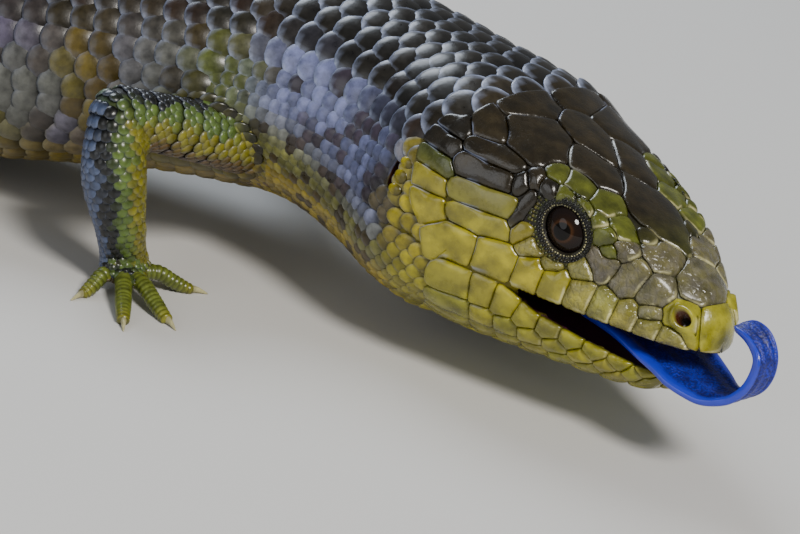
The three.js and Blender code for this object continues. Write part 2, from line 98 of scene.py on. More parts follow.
# Swellings and hollows: length from the snout tip, degrees round from the back, reach, turn, height
FORMS = {
    "nostril swelling": (4.2, 58, 2.4, 16, 0.5),
    "edge of the snout": (14, 45, 7, 11, 1.2),
    "hollow of the cheek": (14, 66, 5, 11, -0.7),
    "upper lip": (20, 88, 13, 8, 0.5),
    "brow": (24, 43, 8, 11, 1.7),
    "rear of the brow": (34, 40, 6, 14, 0.6),
    "eye hollow": (25.3, 60, 5.4, 13, -1),
    "temple": (42, 62, 9, 16, 0.4),
    "jowl": (47, 104, 9, 18, 1),
    "fold over the armpit": (103, 84, 13, 10, 1.6),
    "armpit": (98, 110, 9, 14, -1.8),
    "fold over the groin": (262, 82, 13, 11, 1.2),
}


def through(table, at):
    """A smooth curve through rows of place and value, without overshoot."""
    place, value = np.array(table, float).T
    at = np.clip(at, place[0], place[-1])
    width = np.diff(place)
    step = np.diff(value) / width
    nearer = 2 * width[1:] + width[:-1]
    farther = width[1:] + 2 * width[:-1]
    with np.errstate(divide="ignore", invalid="ignore"):
        inner = (nearer + farther) / (nearer / step[:-1] + farther / step[1:])
    inner = np.where(step[:-1] * step[1:] > 0, inner, 0)
    slope = np.concatenate([step[:1], inner, step[-1:]])
    k = np.clip(np.searchsorted(place, at, side="right") - 1, 0, len(width) - 1)
    u = (at - place[k]) / width[k]
    rise = value[k] * (1 + 2 * u) * (1 - u) ** 2 + value[k + 1] * u * u * (3 - 2 * u)
    return rise + width[k] * (slope[k] * u * (1 - u) ** 2 + slope[k + 1] * u * u * (u - 1))


def ease(u):
    t = np.clip(u, 0, 1)
    return t * t * (3 - 2 * t)


def unit(vectors):
    return vectors / np.maximum(np.linalg.norm(vectors, axis=-1, keepdims=True), 1e-9)


def forward_at(along):
    heading = np.radians(through(HEADING, along))
    climb = np.radians(through(CLIMB, along))
    flat = np.cos(climb)
    return np.stack([np.cos(heading) * flat, np.sin(heading) * flat, np.sin(climb)], -1)


BACK_STEP = 0.5
back_stations = np.arange(0, BODY_LENGTH + 2 * BACK_STEP, BACK_STEP)
back_turns = forward_at(back_stations)
back_steps = (back_turns[1:] + back_turns[:-1]) * (-BACK_STEP / 2)
back_line = np.concatenate([[SNOUT_TIP], SNOUT_TIP + np.cumsum(back_steps, 0)])


def spine_frame(along):
    place = np.clip(along / BACK_STEP, 0, len(back_line) - 2)
    k = np.floor(place).astype(int)
    centre = back_line[k] + (back_line[k + 1] - back_line[k]) * (place - k)[..., None]
    forward = forward_at(along)
    left = unit(np.cross([0, 0, 1], forward))
    return centre, forward, left, np.cross(forward, left)


def section(along, angle, grow):
    across = np.sin(angle)
    upward = np.cos(angle)
    above = upward >= 0
    power = 2 / np.where(above, through(SQUARE_ABOVE, along), through(SQUARE_BELOW, along))
    depth = np.where(above, through(ABOVE, along), through(BELOW, along))
    left = through(HALF_WIDTH, along) * np.sign(across) * np.abs(across) ** power
    up = depth * np.sign(upward) * np.abs(upward) ** power
    around = np.degrees(np.abs(np.arctan2(across, upward)))
    relief = sum(height * np.exp(-((along - a) / reach) ** 2 - ((around - b) / turn) ** 2)
                 for a, b, reach, turn, height in FORMS.values())
    far = np.hypot(left, up)
    swell = np.maximum(1 + (grow + relief) / far, 0.15)
    return left * swell, up * swell


def place_at(along, ahead, left, up):
    centre, forward, side, rise = spine_frame(along)
    return centre + forward * ahead[..., None] + side * left[..., None] + rise * up[..., None]


def open_jaw(along, angle, left, up):
    """Swings the lower jaw open; towards its corner the lip stretches up to the upper one."""
    swing = JAW_OPEN * (1 - ease((along - MOUTH_CORNER) / JAW_BLEND))
    back = CHIN_BACK * np.maximum((JAW_HINGE - along) / JAW_HINGE, 0)
    from_hinge = JAW_HINGE - along - back
    ahead = from_hinge * np.cos(swing) + up * np.sin(swing) - JAW_HINGE + along
    height = up * np.cos(swing) - from_hinge * np.sin(swing)
    gape = np.maximum(from_hinge, 0) * np.sin(swing)
    near_lip = np.exp(-(np.cos(angle) / LIP_REACH) ** 2)
    height = height + gape * near_lip * ease((along - LIP_MEETS[0]) / (LIP_MEETS[1] - LIP_MEETS[0]))
    return place_at(along, ahead, left, height)


def body_point(along, around, grow=0.0):
    """The body's surface at a length from the snout tip and degrees round from the back."""
    along, angle, grow = np.broadcast_arrays(np.asarray(along, float), np.radians(around), grow)
    left, up = section(along, angle, grow)
    lower = np.cos(angle) < -1e-6
    point = np.where(lower[..., None], open_jaw(along, angle, left, up),
                     place_at(along, left * 0, left, up))
    point[..., 2] = np.maximum(point[..., 2], FLOOR_CLEAR)
    return point


def body_frame(along, around):
    """A point on the body with its outward normal and the ways round the body and forwards."""
    along = np.asarray(along, float)
    around = np.asarray(around, float)
    point = body_point(along, around)
    turn = unit(body_point(along, around + 1) - body_point(along, around - 1))
    ahead = unit(body_point(along - 0.3, around) - body_point(along + 0.3, around))
    normal = unit(np.cross(ahead, turn))
    return point, normal, turn, ahead


# Colours of the living animal, as the eye sees them. The pale blue and the lilac near the end are painted
# highlight colours, for the rims of scales and shields and the sheen of the snout; the cream is both a
# real pale colour and a painted highlight.
PAINTS = {
    "head brown": "#251e0e",
    "brow olive": "#5b6118",
    "snout silver": "#574d22",
    "lip olive": "#7a7328",
    "snout yellow": "#a39b22",
    "cheek yellow": "#a4960f",
    "jaw yellow": "#938b10",
    "throat gold": "#917e18",
    "neck lilac": "#6b7198",
    "neck olive": "#6c6c3a",
    "nape brown": "#17130b",
    "flank lilac": "#585268",
    "flank green": "#4d5522",
    "band gold": "#5d4c10",
    "spot brown": "#2a170a",
    "back brown": "#2b2315",
    "belly gold": "#837022",
    "leg black": "#11110c",
    "leg slate": "#4e5b7a",
    "leg green": "#566b2a",
    "leg yellow": "#7b761d",
    "leg rust": "#5e4616",
    "mouth plum": "#471530",
    "ear rust": "#5a2a12",
    "blue edge highlight": "#a9b4d2",
    "rim cream": "#d6cf98",
    "sheen lilac": "#827c90",
}


def paint(name):
    """A named colour in linear light."""
    code = PAINTS[name]
    seen = np.array([int(code[k:k + 2], 16) for k in (1, 3, 5)]) / 255
    return np.where(seen <= 0.04045, seen / 12.92, ((seen + 0.055) / 1.055) ** 2.4)


def blend(one, other, share):
    share = np.clip(np.asarray(share, float), 0, 1)[..., None]
    return one * (1 - share) + other * share


def mottle(points, size, seed):
    """Soft random patches of about one size, from 0 to 1."""
    draw = np.random.default_rng(seed)
    total = np.zeros(points.shape[:-1])
    for _ in range(7):
        way = draw.normal(size=3)
        way *= draw.uniform(0.7, 1.5) * 2 * math.pi / (size * 2.2 * np.linalg.norm(way))
        total = total + np.sin(points @ way + draw.uniform(0, 6.3))
    return np.clip(0.5 + total / 7, 0, 1)


FIRST_BAND = 108
BAND_SPACING = 21.5


def body_colour(along, around):
    """Markings of head, neck, body and tail, from the back line down each side to the belly."""
    side = np.abs(around)
    spot = body_point(along, around)
    drift = mottle(spot, 22, 3) - 0.5
    wobble = along + 9 * drift + 0.05 * side
    banded = ease((np.cos(2 * math.pi * (wobble - FIRST_BAND) / BAND_SPACING) - 0.05) / 0.5)
    # Trunk and tail: dark bands on the back, gold ones between lilac on the flanks, golden belly
    back = blend(paint("back brown"), paint("nape brown"), banded * 0.9)
    flank = blend(paint("flank lilac"), paint("band gold"), banded)
    greened = ease((mottle(spot, 14, 5) - 0.42) / 0.3) * 0.5 + 0.5 * ease((136 - along) / 24)
    flank = blend(flank, paint("flank green"), greened)
    belly = blend(paint("belly gold"), paint("band gold"), banded * 0.45)
    trunk = blend(back, flank, ease((side - 48 + 16 * drift) / 22))
    trunk = blend(trunk, belly, ease((side - 116 + 12 * drift) / 20))
    dotted = ease((mottle(spot, 5, 11) - 0.68) / 0.1) * ease((140 - side) / 30)
    trunk = blend(trunk, paint("spot brown"), dotted * 0.6)
    # Neck: brown nape, lilac and olive sides, golden throat, brown freckles
    nape = blend(paint("nape brown"), paint("neck lilac"), ease((side - 50 + 20 * drift) / 14))
    nape = blend(nape, paint("neck olive"), ease((side - 80 + 20 * drift) / 18))
    throat = blend(nape, paint("throat gold"), ease((side - 103 + 16 * drift) / 16))
    freckle = ease((mottle(spot, 2.6, 17) - 0.64) / 0.07) * ease((side - 40) / 20)
    neck = blend(throat, paint("spot brown"), freckle * 0.85)
    colour = blend(neck, trunk, ease((along - 90 + 10 * drift) / 14))
    # Head: brown crown, yellow cheeks and jaw
    crown = blend(paint("head brown"), paint("brow olive"), ease((20 - along + side * 0.07) / 12))
    crown = blend(crown, paint("cheek yellow"), ease((side - 68 + (along - 30) * 0.25) / 14))
    crown = blend(crown, paint("jaw yellow"), ease((side - 92) / 8))
    return blend(crown, colour, ease((along - 50 + 8 * drift + (side > 90) * 4) / 7))


def leg_colour(points, normals, upright):
    """Markings of a leg. Upright parts are slate behind, black outside, green then yellow in
    front; level parts are black on top, then bright green, yellow and rust below."""
    drift = 0.25 * (mottle(points, 4, 21) - 0.5)
    facing = normals[..., 0] + drift
    tall = blend(paint("leg slate"), paint("leg black"), ease((facing + 0.5) / 0.3))
    tall = blend(tall, paint("leg green"), ease((facing - 0.15) / 0.25))
    tall = blend(tall, paint("leg yellow"), ease((facing - 0.65) / 0.2))
    under = normals[..., 2] + drift
    level = blend(paint("leg rust"), paint("leg yellow"), ease((under + 0.7) / 0.4))
    level = blend(level, paint("leg green"), ease((under - 0.15) / 0.25))
    level = blend(level, paint("leg black"), ease((under - 0.72) / 0.15))
    return blend(level, tall, ease((upright - 0.35) / 0.4))


def ring_faces(rings, size):
    """Faces of rings joined in order, each end closed by a fan about its middle point."""
    near = (np.arange(rings - 1)[:, None] * size + np.arange(size)).ravel()
    turn = (np.arange(rings - 1)[:, None] * size + (np.arange(size) + 1) % size).ravel()
    sides = np.stack([near, turn, turn + size, near + size], 1)
    first, last = rings * size, rings * size + 1
    rim = np.arange(size)
    turned = (rim + 1) % size
    end = (rings - 1) * size
    front = np.stack([rim, np.full(size, first), turned], 1)
    rear = np.stack([end + rim, end + turned, np.full(size, last)], 1)
    return sides, np.concatenate([front, rear])


def closed_tube(rings):
    count, size = rings.shape[:2]
    points = np.concatenate([rings.reshape(-1, 3), [rings[0].mean(0)], [rings[-1].mean(0)]])
    return points, ring_faces(count, size)


def new_piece(name, points, polygons):
    """A mesh object from points in millimetres and arrays of like-sided polygons."""
    mesh = bpy.data.meshes.new(name)
    corners = np.concatenate([block.ravel() for block in polygons]).astype(np.int32)
    sizes = np.concatenate([np.full(len(block), block.shape[1]) for block in polygons])
    starts = np.concatenate([[0], np.cumsum(sizes)[:-1]]).astype(np.int32)
    mesh.vertices.add(len(points))
    mesh.vertices.foreach_set("co", (np.asarray(points) * MM).astype(np.float32).ravel())
    mesh.loops.add(len(corners))
    mesh.loops.foreach_set("vertex_index", corners)
    mesh.polygons.add(len(sizes))
    mesh.polygons.foreach_set("loop_start", starts)
    mesh.update(calc_edges=True)
    mesh.validate()
    mesh.polygons.foreach_set("use_smooth", np.full(len(mesh.polygons), True))
    piece = bpy.data.objects.new(name, mesh)
    bpy.context.scene.collection.objects.link(piece)
    return piece


def give_colour(piece, name, values):
    """A colour for each point of a piece."""
    rows = np.concatenate([values, np.ones((len(values), 1))], 1)
    layer = piece.data.color_attributes.new(name=name, type="FLOAT_COLOR", domain="POINT")
    layer.data.foreach_set("color", rows.astype(np.float32).ravel())


def give_map(piece, places):
    """The piece's own flat map, from a place for each point."""
    layer = piece.data.uv_layers.new(name="OFBake")
    order = np.empty(len(piece.data.loops), np.int32)
    piece.data.loops.foreach_get("vertex_index", order)
    layer.data.foreach_set("uv", places[order].astype(np.float32).ravel())


def work_on(piece):
    bpy.ops.object.select_all(action="DESELECT")
    piece.select_set(True)
    bpy.context.view_layer.objects.active = piece


def finish_with(piece, kind, **settings):
    """Adds a modifier and applies it."""
    work_on(piece)
    step = piece.modifiers.new(kind.lower(), kind)
    for name, value in settings.items():
        setattr(step, name, value)
    bpy.ops.object.modifier_apply(modifier=step.name)


def mesh_points(piece):
    """Points and normals of a piece, in millimetres."""
    count = len(piece.data.vertices)
    points = np.empty(count * 3, np.float32)
    normals = np.empty(count * 3, np.float32)
    piece.data.vertices.foreach_get("co", points)
    piece.data.vertices.foreach_get("normal", normals)
    return points.reshape(-1, 3).astype(float) / MM, normals.reshape(-1, 3).astype(float)


# The mouth's roof and floor, and the rings of the skull and the jaw
LIP_SHARE = 0.86
PALATE = 3.0
MOUTH_FLOOR = 2.6
SKIN_POINTS = 112
skin_angles = np.arange(SKIN_POINTS) * 360 / SKIN_POINTS - 90


def skull_rings(stations, grow):
    along, around = np.meshgrid(stations, skin_angles, indexing="ij")
    outer = body_point(along, around, grow)
    cosine = np.cos(np.radians(around))
    left = (through(HALF_WIDTH, along) * LIP_SHARE) * np.sin(np.radians(around))
    vault = np.minimum(PALATE, through(ABOVE, along) / 4) * np.sqrt(np.maximum(-cosine, 0))
    return np.where((cosine > -1e-6)[..., None], outer, place_at(along, along * 0, left, vault))


def jaw_rings(stations, grow):
    along, around = np.meshgrid(stations, skin_angles, indexing="ij")
    left, up = section(along, np.radians(around), grow)
    cosine = np.cos(np.radians(around))
    sunk = np.minimum(MOUTH_FLOOR, through(BELOW, along) / 3) * np.sqrt(np.maximum(cosine, 0))
    inner = through(HALF_WIDTH, along) * LIP_SHARE * np.sin(np.radians(around))
    floor = cosine > -1e-6
    angle = np.radians(around)
    return open_jaw(along, angle, np.where(floor, inner, left), np.where(floor, -sunk, up))


# Legs: joints ahead of the snout tip, left of it, their height and radius. The third is the elbow
# or knee, the last the wrist or ankle. Toes: heading on the floor, length and radius.
LEGS = {
    "fore_right": {
        "joints": [(-84, 37, 22, 6), (-92, 26, 25.4, 5.2), (-104.6, 13.4, 29, 4.8),
                   (-103.2, 11.8, 19.6, 5.3), (-100.4, 11.6, 10.6, 4.2)],
        "palm": (-99, 12.6, 4.4), "heading": -50,
        "toes": [(78, 6.5, 1.15), (26, 9, 1.2), (-42, 12.5, 1.3), (-70, 13.5, 1.3),
                 (-112, 6.5, 1.2)],
    },
    "fore_left": {
        "joints": [(-84, 64, 22, 6), (-88, 76, 23, 5.2), (-96, 90.5, 24.5, 4.6),
                   (-91, 94, 16, 5), (-85.5, 95, 9, 4)],
        "palm": (-82, 96.5, 4.4), "heading": 28,
        "toes": [(-52, 7, 1.15), (-14, 9.5, 1.2), (18, 12.5, 1.3), (46, 13, 1.3), (84, 8, 1.2)],
    },
    "hind_right": {
        "joints": [(-268, 42, 13, 8), (-257, 31, 15, 7.2), (-242, 20, 17, 5.6),
                   (-251, 12.5, 12, 5.2), (-260, 7, 7.6, 4)],
        "palm": (-257.5, 1.5, 4.2), "heading": -38,
        "toes": [(12, 6.5, 1.1), (-10, 9.5, 1.2), (-30, 13, 1.3), (-52, 15, 1.3),
                 (-96, 10, 1.2)],
    },
    "hind_left": {
        "joints": [(-270, 62, 13, 8), (-262, 73, 15, 7.2), (-250, 85, 17, 5.6),
                   (-261, 91.5, 12, 5.2), (-272, 96, 7.6, 4)],
        "palm": (-270.5, 102, 4.2), "heading": 46,
        "toes": [(-6, 6.5, 1.1), (16, 9.5, 1.2), (38, 13, 1.3), (60, 15, 1.3), (102, 10, 1.2)],
    },
}
LIMB_POINTS = 28
CLAW = 3.0


def floor_way(degrees):
    return np.array([math.cos(math.radians(degrees)), math.sin(math.radians(degrees)), 0])


def on_floor_plan(joint):
    return np.array([SNOUT_TIP[0] + joint[0], SNOUT_TIP[1] + joint[1], joint[2]])


def bent_path(points, count):
    """A smooth path through a few points, spaced by the square root of their distance."""
    points = np.array(points, float)
    ends = np.concatenate([[2 * points[0] - points[1]], points, [2 * points[-1] - points[-2]]])
    knots = np.concatenate([[0], np.cumsum(np.linalg.norm(np.diff(ends, axis=0), axis=1) ** 0.5)])
    out = []
    for at in np.linspace(0, len(points) - 1, count):
        k = min(int(at), len(points) - 2)
        t0, t1, t2, t3 = knots[k:k + 4]
        t = t1 + (t2 - t1) * (at - k)
        p0, p1, p2, p3 = ends[k:k + 4]
        a1 = p0 * (t1 - t) / (t1 - t0) + p1 * (t - t0) / (t1 - t0)
        a2 = p1 * (t2 - t) / (t2 - t1) + p2 * (t - t1) / (t2 - t1)
        a3 = p2 * (t3 - t) / (t3 - t2) + p3 * (t - t2) / (t3 - t2)
        b1 = a1 * (t2 - t) / (t2 - t0) + a2 * (t - t0) / (t2 - t0)
        b2 = a2 * (t3 - t) / (t3 - t1) + a3 * (t - t1) / (t3 - t1)
        out.append(b1 * (t2 - t) / (t2 - t1) + b2 * (t - t1) / (t2 - t1))
    path = np.array(out)
    travel = unit(np.gradient(path, axis=0))
    return path, travel


def round_rings(path, travel, side, wide, thick, count):
    """Oval rings along a path; side is roughly the way across it."""
    rise = unit(np.cross(travel, side))
    across = unit(np.cross(rise, travel))
    angle = np.arange(count) * 2 * math.pi / count
    rings = (path[:, None] + across[:, None] * (wide[:, None] * np.cos(angle))[..., None]
             + rise[:, None] * (thick[:, None] * np.sin(angle))[..., None])
    rings[..., 2] = np.maximum(rings[..., 2], FLOOR_CLEAR)
    return rings


def even_table(values):
    return [(k / (len(values) - 1), value) for k, value in enumerate(values)]


LIMB_STATIONS = 40
PALM_STATIONS = 24


def limb_tube(joints, grow):
    path, travel = bent_path([on_floor_plan(joint) for joint in joints], LIMB_STATIONS)
    side = unit(np.cross(path[-1] - path[0], [0, 0, 1]))
    radii = even_table([joint[3] for joint in joints])
    return path, travel, side, through(radii, np.linspace(0, 1, LIMB_STATIONS)) + grow


def toe_path(leg, toe, count):
    heading, length, radius = toe
    palm = on_floor_plan(leg["palm"])
    out = floor_way(leg["heading"])
    across = np.cross(out, [0, 0, 1])
    turn = math.radians(heading - leg["heading"])
    root = palm + out * 2.4 * math.cos(turn) - across * 3 * math.sin(turn)
    root[2] = 2.6
    heights = [2.6, 3.1, radius + 0.5, radius * 0.5, 0.5, 0.15]
    reaches = [-radius, length * 0.32, length * 0.66, length, length + CLAW * 0.55, length + CLAW]
    way = floor_way(heading)
    points = [root * [1, 1, 0] + way * reach + [0, 0, height]
              for reach, height in zip(reaches, heights)]
    path, travel = bent_path(points, count)
    radii = through(even_table([1.05, 1, 0.95, 0.7, 0.4, 0.1]), np.linspace(0, 1, count)) * radius
    return path, travel, np.cross(way, [0, 0, 1]), radii


def palm_rings(leg):
    ankle = on_floor_plan(leg["joints"][4])
    palm = on_floor_plan(leg["palm"])
    out = floor_way(leg["heading"])
    front = palm + out * 3
    front[2] = 2.6
    path, travel = bent_path([ankle, ankle * 0.45 + palm * 0.55, palm, front], PALM_STATIONS)
    share = np.linspace(0, 1, PALM_STATIONS)
    wide = through(even_table([leg["joints"][4][3], 4, 4.4, 3.2]), share)
    thick = through(even_table([leg["joints"][4][3], 3.2, 2.5, 1.8]), share)
    return path, travel, np.cross(out, [0, 0, 1]), wide, thick


# All lengths of skin in one mesh, each point with its colour, before they are melted together.
# Skin between the scales is painted darker than the scales on it, as painted shade in the gaps between
# them.
SKIN_SHADE = 0.4
JAW_SHADE = 0.45
soft_points, soft_faces, soft_colours = [], [[], []], []


def add_soft(rings, colours):
    points, (sides, ends) = closed_tube(rings)
    start = sum(len(block) for block in soft_points)
    soft_points.append(points)
    soft_faces[0].append(sides + start)
    soft_faces[1].append(ends + start)
    flat = colours.reshape(-1, 3)
    soft_colours.append(np.concatenate([flat, flat[:1], flat[-1:]]))


def left_or_right(around):
    """Degrees round from the back line, from -180 on the right to 180 on the left."""
    return np.degrees(np.arctan2(np.sin(np.radians(around)), np.cos(np.radians(around))))


head_stations = np.concatenate([np.arange(0.3, 3, 0.45), np.arange(3, MOUTH_CORNER, 0.9)])
rear_stations = np.arange(MOUTH_CORNER + 0.3, BODY_LENGTH + 0.1, 1.4)
whole = np.concatenate([skull_rings(head_stations, -COAT_DEPTH),
                        body_point(*np.meshgrid(rear_stations, skin_angles, indexing="ij"),
                                   -COAT_DEPTH)])
whole_along, whole_around = np.meshgrid(np.concatenate([head_stations, rear_stations]),
                                        left_or_right(skin_angles), indexing="ij")
whole_colour = body_colour(whole_along, whole_around) * SKIN_SHADE
palate = (np.abs(whole_around) > 91) & (whole_along < MOUTH_CORNER)
whole_colour[palate] = paint("mouth plum")
add_soft(whole, whole_colour)

jaw_stations = np.concatenate([np.arange(0.5, 3, 0.5), np.arange(3, MOUTH_CORNER + 6, 0.9)])
jaw_along, jaw_around = np.meshgrid(jaw_stations, left_or_right(skin_angles), indexing="ij")
jaw_colour = body_colour(jaw_along, jaw_around) * JAW_SHADE
jaw_colour[np.abs(jaw_around) < 89] = paint("mouth plum")
add_soft(jaw_rings(jaw_stations, -COAT_DEPTH), jaw_colour)

for leg in LEGS.values():
    for joints in (leg["joints"][:3], leg["joints"][2:]):
        path, travel, side, radius = limb_tube(joints, -LEG_COAT_DEPTH)
        rings = round_rings(path, travel, side, radius, radius, LIMB_POINTS)
        add_soft(rings, leg_colour(rings, unit(rings - path[:, None]),
                                   np.abs(travel[:, None, 2])) * SKIN_SHADE)
    knee = on_floor_plan(leg["joints"][2])
    bulge = leg["joints"][2][3] - LEG_COAT_DEPTH
    rise = np.linspace(-0.98, 0.98, 12)
    ball_path = knee + np.array([0, 0, 1]) * (rise * bulge)[:, None]
    ball_radius = bulge * np.sqrt(1 - rise ** 2)
    ball = round_rings(ball_path, np.tile([0.0, 0, 1], (12, 1)), [1.0, 0, 0], ball_radius,
                       ball_radius, LIMB_POINTS)
    add_soft(ball, leg_colour(ball, unit(ball - knee), 0.5) * SKIN_SHADE)
    path, travel, side, wide, thick = palm_rings(leg)
    rings = round_rings(path, travel, side, wide - 0.3, thick - 0.3, LIMB_POINTS)
    add_soft(rings, leg_colour(rings, unit(rings - path[:, None]), 1.0) * SKIN_SHADE)
    for toe in leg["toes"]:
        path, travel, side, radii = toe_path(leg, toe, 30)
        flesh = slice(0, 24)
        radii = radii[flesh] - TOE_COAT_DEPTH
        rings = round_rings(path[flesh], travel[flesh], side, radii, radii, 14)
        add_soft(rings, np.tile(paint("leg green") * SKIN_SHADE, rings.shape[:2] + (1,)))

SKIN_VOXEL = 0.92
skin = new_piece("skin", np.concatenate(soft_points),
                 [np.concatenate(soft_faces[0]), np.concatenate(soft_faces[1])])
finish_with(skin, "REMESH", mode="VOXEL", voxel_size=SKIN_VOXEL * MM, use_smooth_shade=True)
finish_with(skin, "SMOOTH", factor=0.5, iterations=3)

# Openings of the skin: eye sockets, nostrils and ear cups, cut by rounded tools
EYE = {"along": 25.3, "around": 58, "radius": 4.6, "proud": 1.1, "oval": 1.1}
NOSTRIL = {"along": 3.9, "around": 58, "hole": 1.35}
EAR = {"along": 56.2, "around": 77.5, "long": 3.4, "wide": 1.3, "deep": 2.6}


def set_by(frame_at, radii):
    """Turns and places a unit ball at a point of the body, sized ahead, round and outwards."""
    point, normal, turn, ahead = frame_at
    axes = Matrix([list(ahead * radii[0]), list(turn * radii[1]), list(normal * radii[2])])
    place = axes.transposed().to_4x4()
    place.translation = Vector(point)
    return Matrix.Scale(MM, 4) @ place


def ball_at(name, frame_at, radii, segments=32):
    bpy.ops.object.select_all(action="DESELECT")
    bpy.ops.mesh.primitive_uv_sphere_add(segments=segments, ring_count=segments // 2, radius=1)
    ball = bpy.context.object
    ball.name = ball.data.name = name
    ball.data.transform(set_by(frame_at, radii))
    if set_by(frame_at, radii).determinant() < 0:
        ball.data.flip_normals()
    bpy.ops.object.shade_smooth()
    return ball


def sunk_frame(along, around, depth):
    point, normal, turn, ahead = body_frame(along, around)
    return point - normal * depth, normal, turn, ahead


tools = []
for side in (1, -1):
    eye_place = sunk_frame(EYE["along"], side * EYE["around"], EYE["radius"] - EYE["proud"])
    tools.append(ball_at("socket", eye_place, [EYE["radius"] + 0.25] * 3))
    nose_place = sunk_frame(NOSTRIL["along"], side * NOSTRIL["around"], 0.2)
    tools.append(ball_at("nostril", nose_place, [NOSTRIL["hole"], NOSTRIL["hole"], 2.4], 20))
    ear_place = sunk_frame(EAR["along"], side * EAR["around"], 0.2)
    tools.append(ball_at("ear", ear_place, [EAR["wide"], EAR["long"], EAR["deep"]], 24))
bpy.ops.object.select_all(action="DESELECT")
for tool in tools:
    tool.select_set(True)
bpy.context.view_layer.objects.active = tools[0]
bpy.ops.object.join()
cutter = bpy.context.object
finish_with(skin, "BOOLEAN", operation="DIFFERENCE", object=cutter, solver="EXACT")
bpy.data.objects.remove(cutter)

skin_points, skin_normals = mesh_points(skin)
soft_tree = KDTree(sum(len(block) for block in soft_points))
for index, point in enumerate(np.concatenate(soft_points)):
    soft_tree.insert(point, index)
soft_tree.balance()
nearest = np.array([soft_tree.find(point)[1] for point in skin_points])
skin_colours = np.concatenate(soft_colours)[nearest]
# Skin deep in the eye sockets and nostrils is painted near black, and in the ear cups a darker rust:
# painted shade in these hollows, over the ear's own rust.
for side in (1, -1):
    for place, reach, colour in ((EYE, 5.2, paint("leg black") * 0.3),
                                 (NOSTRIL, 1.7, paint("ear rust") * 0.12),
                                 (EAR, 3.3, paint("ear rust") * 0.6)):
        point, normal = body_frame(place["along"], side * place["around"])[:2]
        sunk = (point - skin_points) @ normal
        near = np.linalg.norm(skin_points - point + normal * sunk[:, None], axis=1) < reach
        skin_colours[near & (sunk > 0.75) & (sunk < 9)] = colour
give_colour(skin, "tint", skin_colours)
skin_tree = BVHTree.FromPolygons([tuple(p) for p in skin_points],
                                 [tuple(f.vertices) for f in skin.data.polygons])


class Wire:
    """A shader socket that takes sums and products as Python does."""

    def __init__(self, tree, socket):
        self.tree = tree
        self.socket = socket

    def combine(self, operation, other, turned=False):
        pair = [other, self] if turned else [self, other]
        return self.tree.node("ShaderNodeMath", {"operation": operation}, {0: pair[0], 1: pair[1]})

    def __add__(self, other):
        return self.combine("ADD", other)

    def __rsub__(self, other):
        return self.combine("SUBTRACT", other, turned=True)

    def __mul__(self, other):
        return self.combine("MULTIPLY", other)

    __radd__ = __add__
    __rmul__ = __mul__


class Finish:
    """One material and the nodes that make it."""

    def __init__(self, name, **sockets):
        self.material = bpy.data.materials.new(name)
        self.material.use_nodes = True
        self.nodes = self.material.node_tree.nodes
        self.links = self.material.node_tree.links
        self.shader = self.nodes["Principled BSDF"]
        self.set(self.shader, sockets)

    def set(self, node, sockets):
        for name, value in sockets.items():
            socket = node.inputs[name.replace("_", " ") if isinstance(name, str) else name]
            if isinstance(value, Wire):
                self.links.new(value.socket, socket)
            else:
                socket.default_value = value

    def node(self, kind, settings=None, sockets=None, output=0):
        node = self.nodes.new(kind)
        for name, value in (settings or {}).items():
            if name == "stops":
                while len(node.color_ramp.elements) < len(value):
                    node.color_ramp.elements.new(0.5)
                for element, (place, colour) in zip(node.color_ramp.elements, value):
                    element.position = place
                    element.color = colour
            else:
                setattr(node, name, value)
        self.set(node, sockets or {})
        return Wire(self, node.outputs[output])

    def attribute(self, name):
        return self.node("ShaderNodeAttribute", {"attribute_name": name}, output="Color")

    def grain(self, scale, detail=2.0, rough=0.5):
        place = self.node("ShaderNodeTexCoord", output="Object")
        return self.node("ShaderNodeTexNoise", {}, {"Vector": place, "Scale": scale,
                                                    "Detail": detail, "Roughness": rough})

    def spread(self, value, low, high, bottom=0.0, top=1.0):
        return self.node("ShaderNodeMapRange", {"clamp": True},
                         {"Value": value, "From Min": low, "From Max": high,
                          "To Min": bottom, "To Max": top})

    def mixed(self, one, other, share, way="MIX"):
        return self.node("ShaderNodeMix", {"data_type": "RGBA", "blend_type": way},
                         {0: share, 6: one, 7: other}, output=2)

    def bump(self, height, distance, strength=1.0):
        return self.node("ShaderNodeBump", {}, {"Height": height, "Distance": distance,
                                                "Strength": strength})


def horn_finish(name, rough, coat, wrinkle, fine=1500.0, crackle=0.0):
    """Scales are thin horn over pigment: faint streaks, a soft gloss and fine wrinkles."""
    horn = Finish(name, Coat_Roughness=0.22, Specular_IOR_Level=0.35)
    streak = horn.grain(fine * 0.45, 4.0, 0.62)
    shade = horn.spread(streak, 0.3, 0.7, 0.62, 1.35)
    grey = horn.node("ShaderNodeCombineColor", {}, {0: shade, 1: shade, 2: shade})
    base = horn.mixed(horn.attribute("tint"), grey, 1.0, "MULTIPLY")
    relief = horn.grain(fine * 1.6, 3.0, 0.6) * 0.5 + streak * 0.6
    if crackle:
        place = horn.node("ShaderNodeTexCoord", output="Object")
        cells = horn.node("ShaderNodeTexVoronoi", {"feature": "DISTANCE_TO_EDGE"},
                          {"Vector": place, "Scale": fine * 1.3})
        relief = relief + horn.spread(cells, 0.0, 0.25) * crackle
    horn.set(horn.shader, {
        "Base Color": base,
        "Roughness": horn.spread(streak, 0.3, 0.7, rough - 0.08, rough + 0.1),
        "Coat Weight": coat,
        "Normal": horn.bump(relief, wrinkle * MM),
    })
    return horn.material


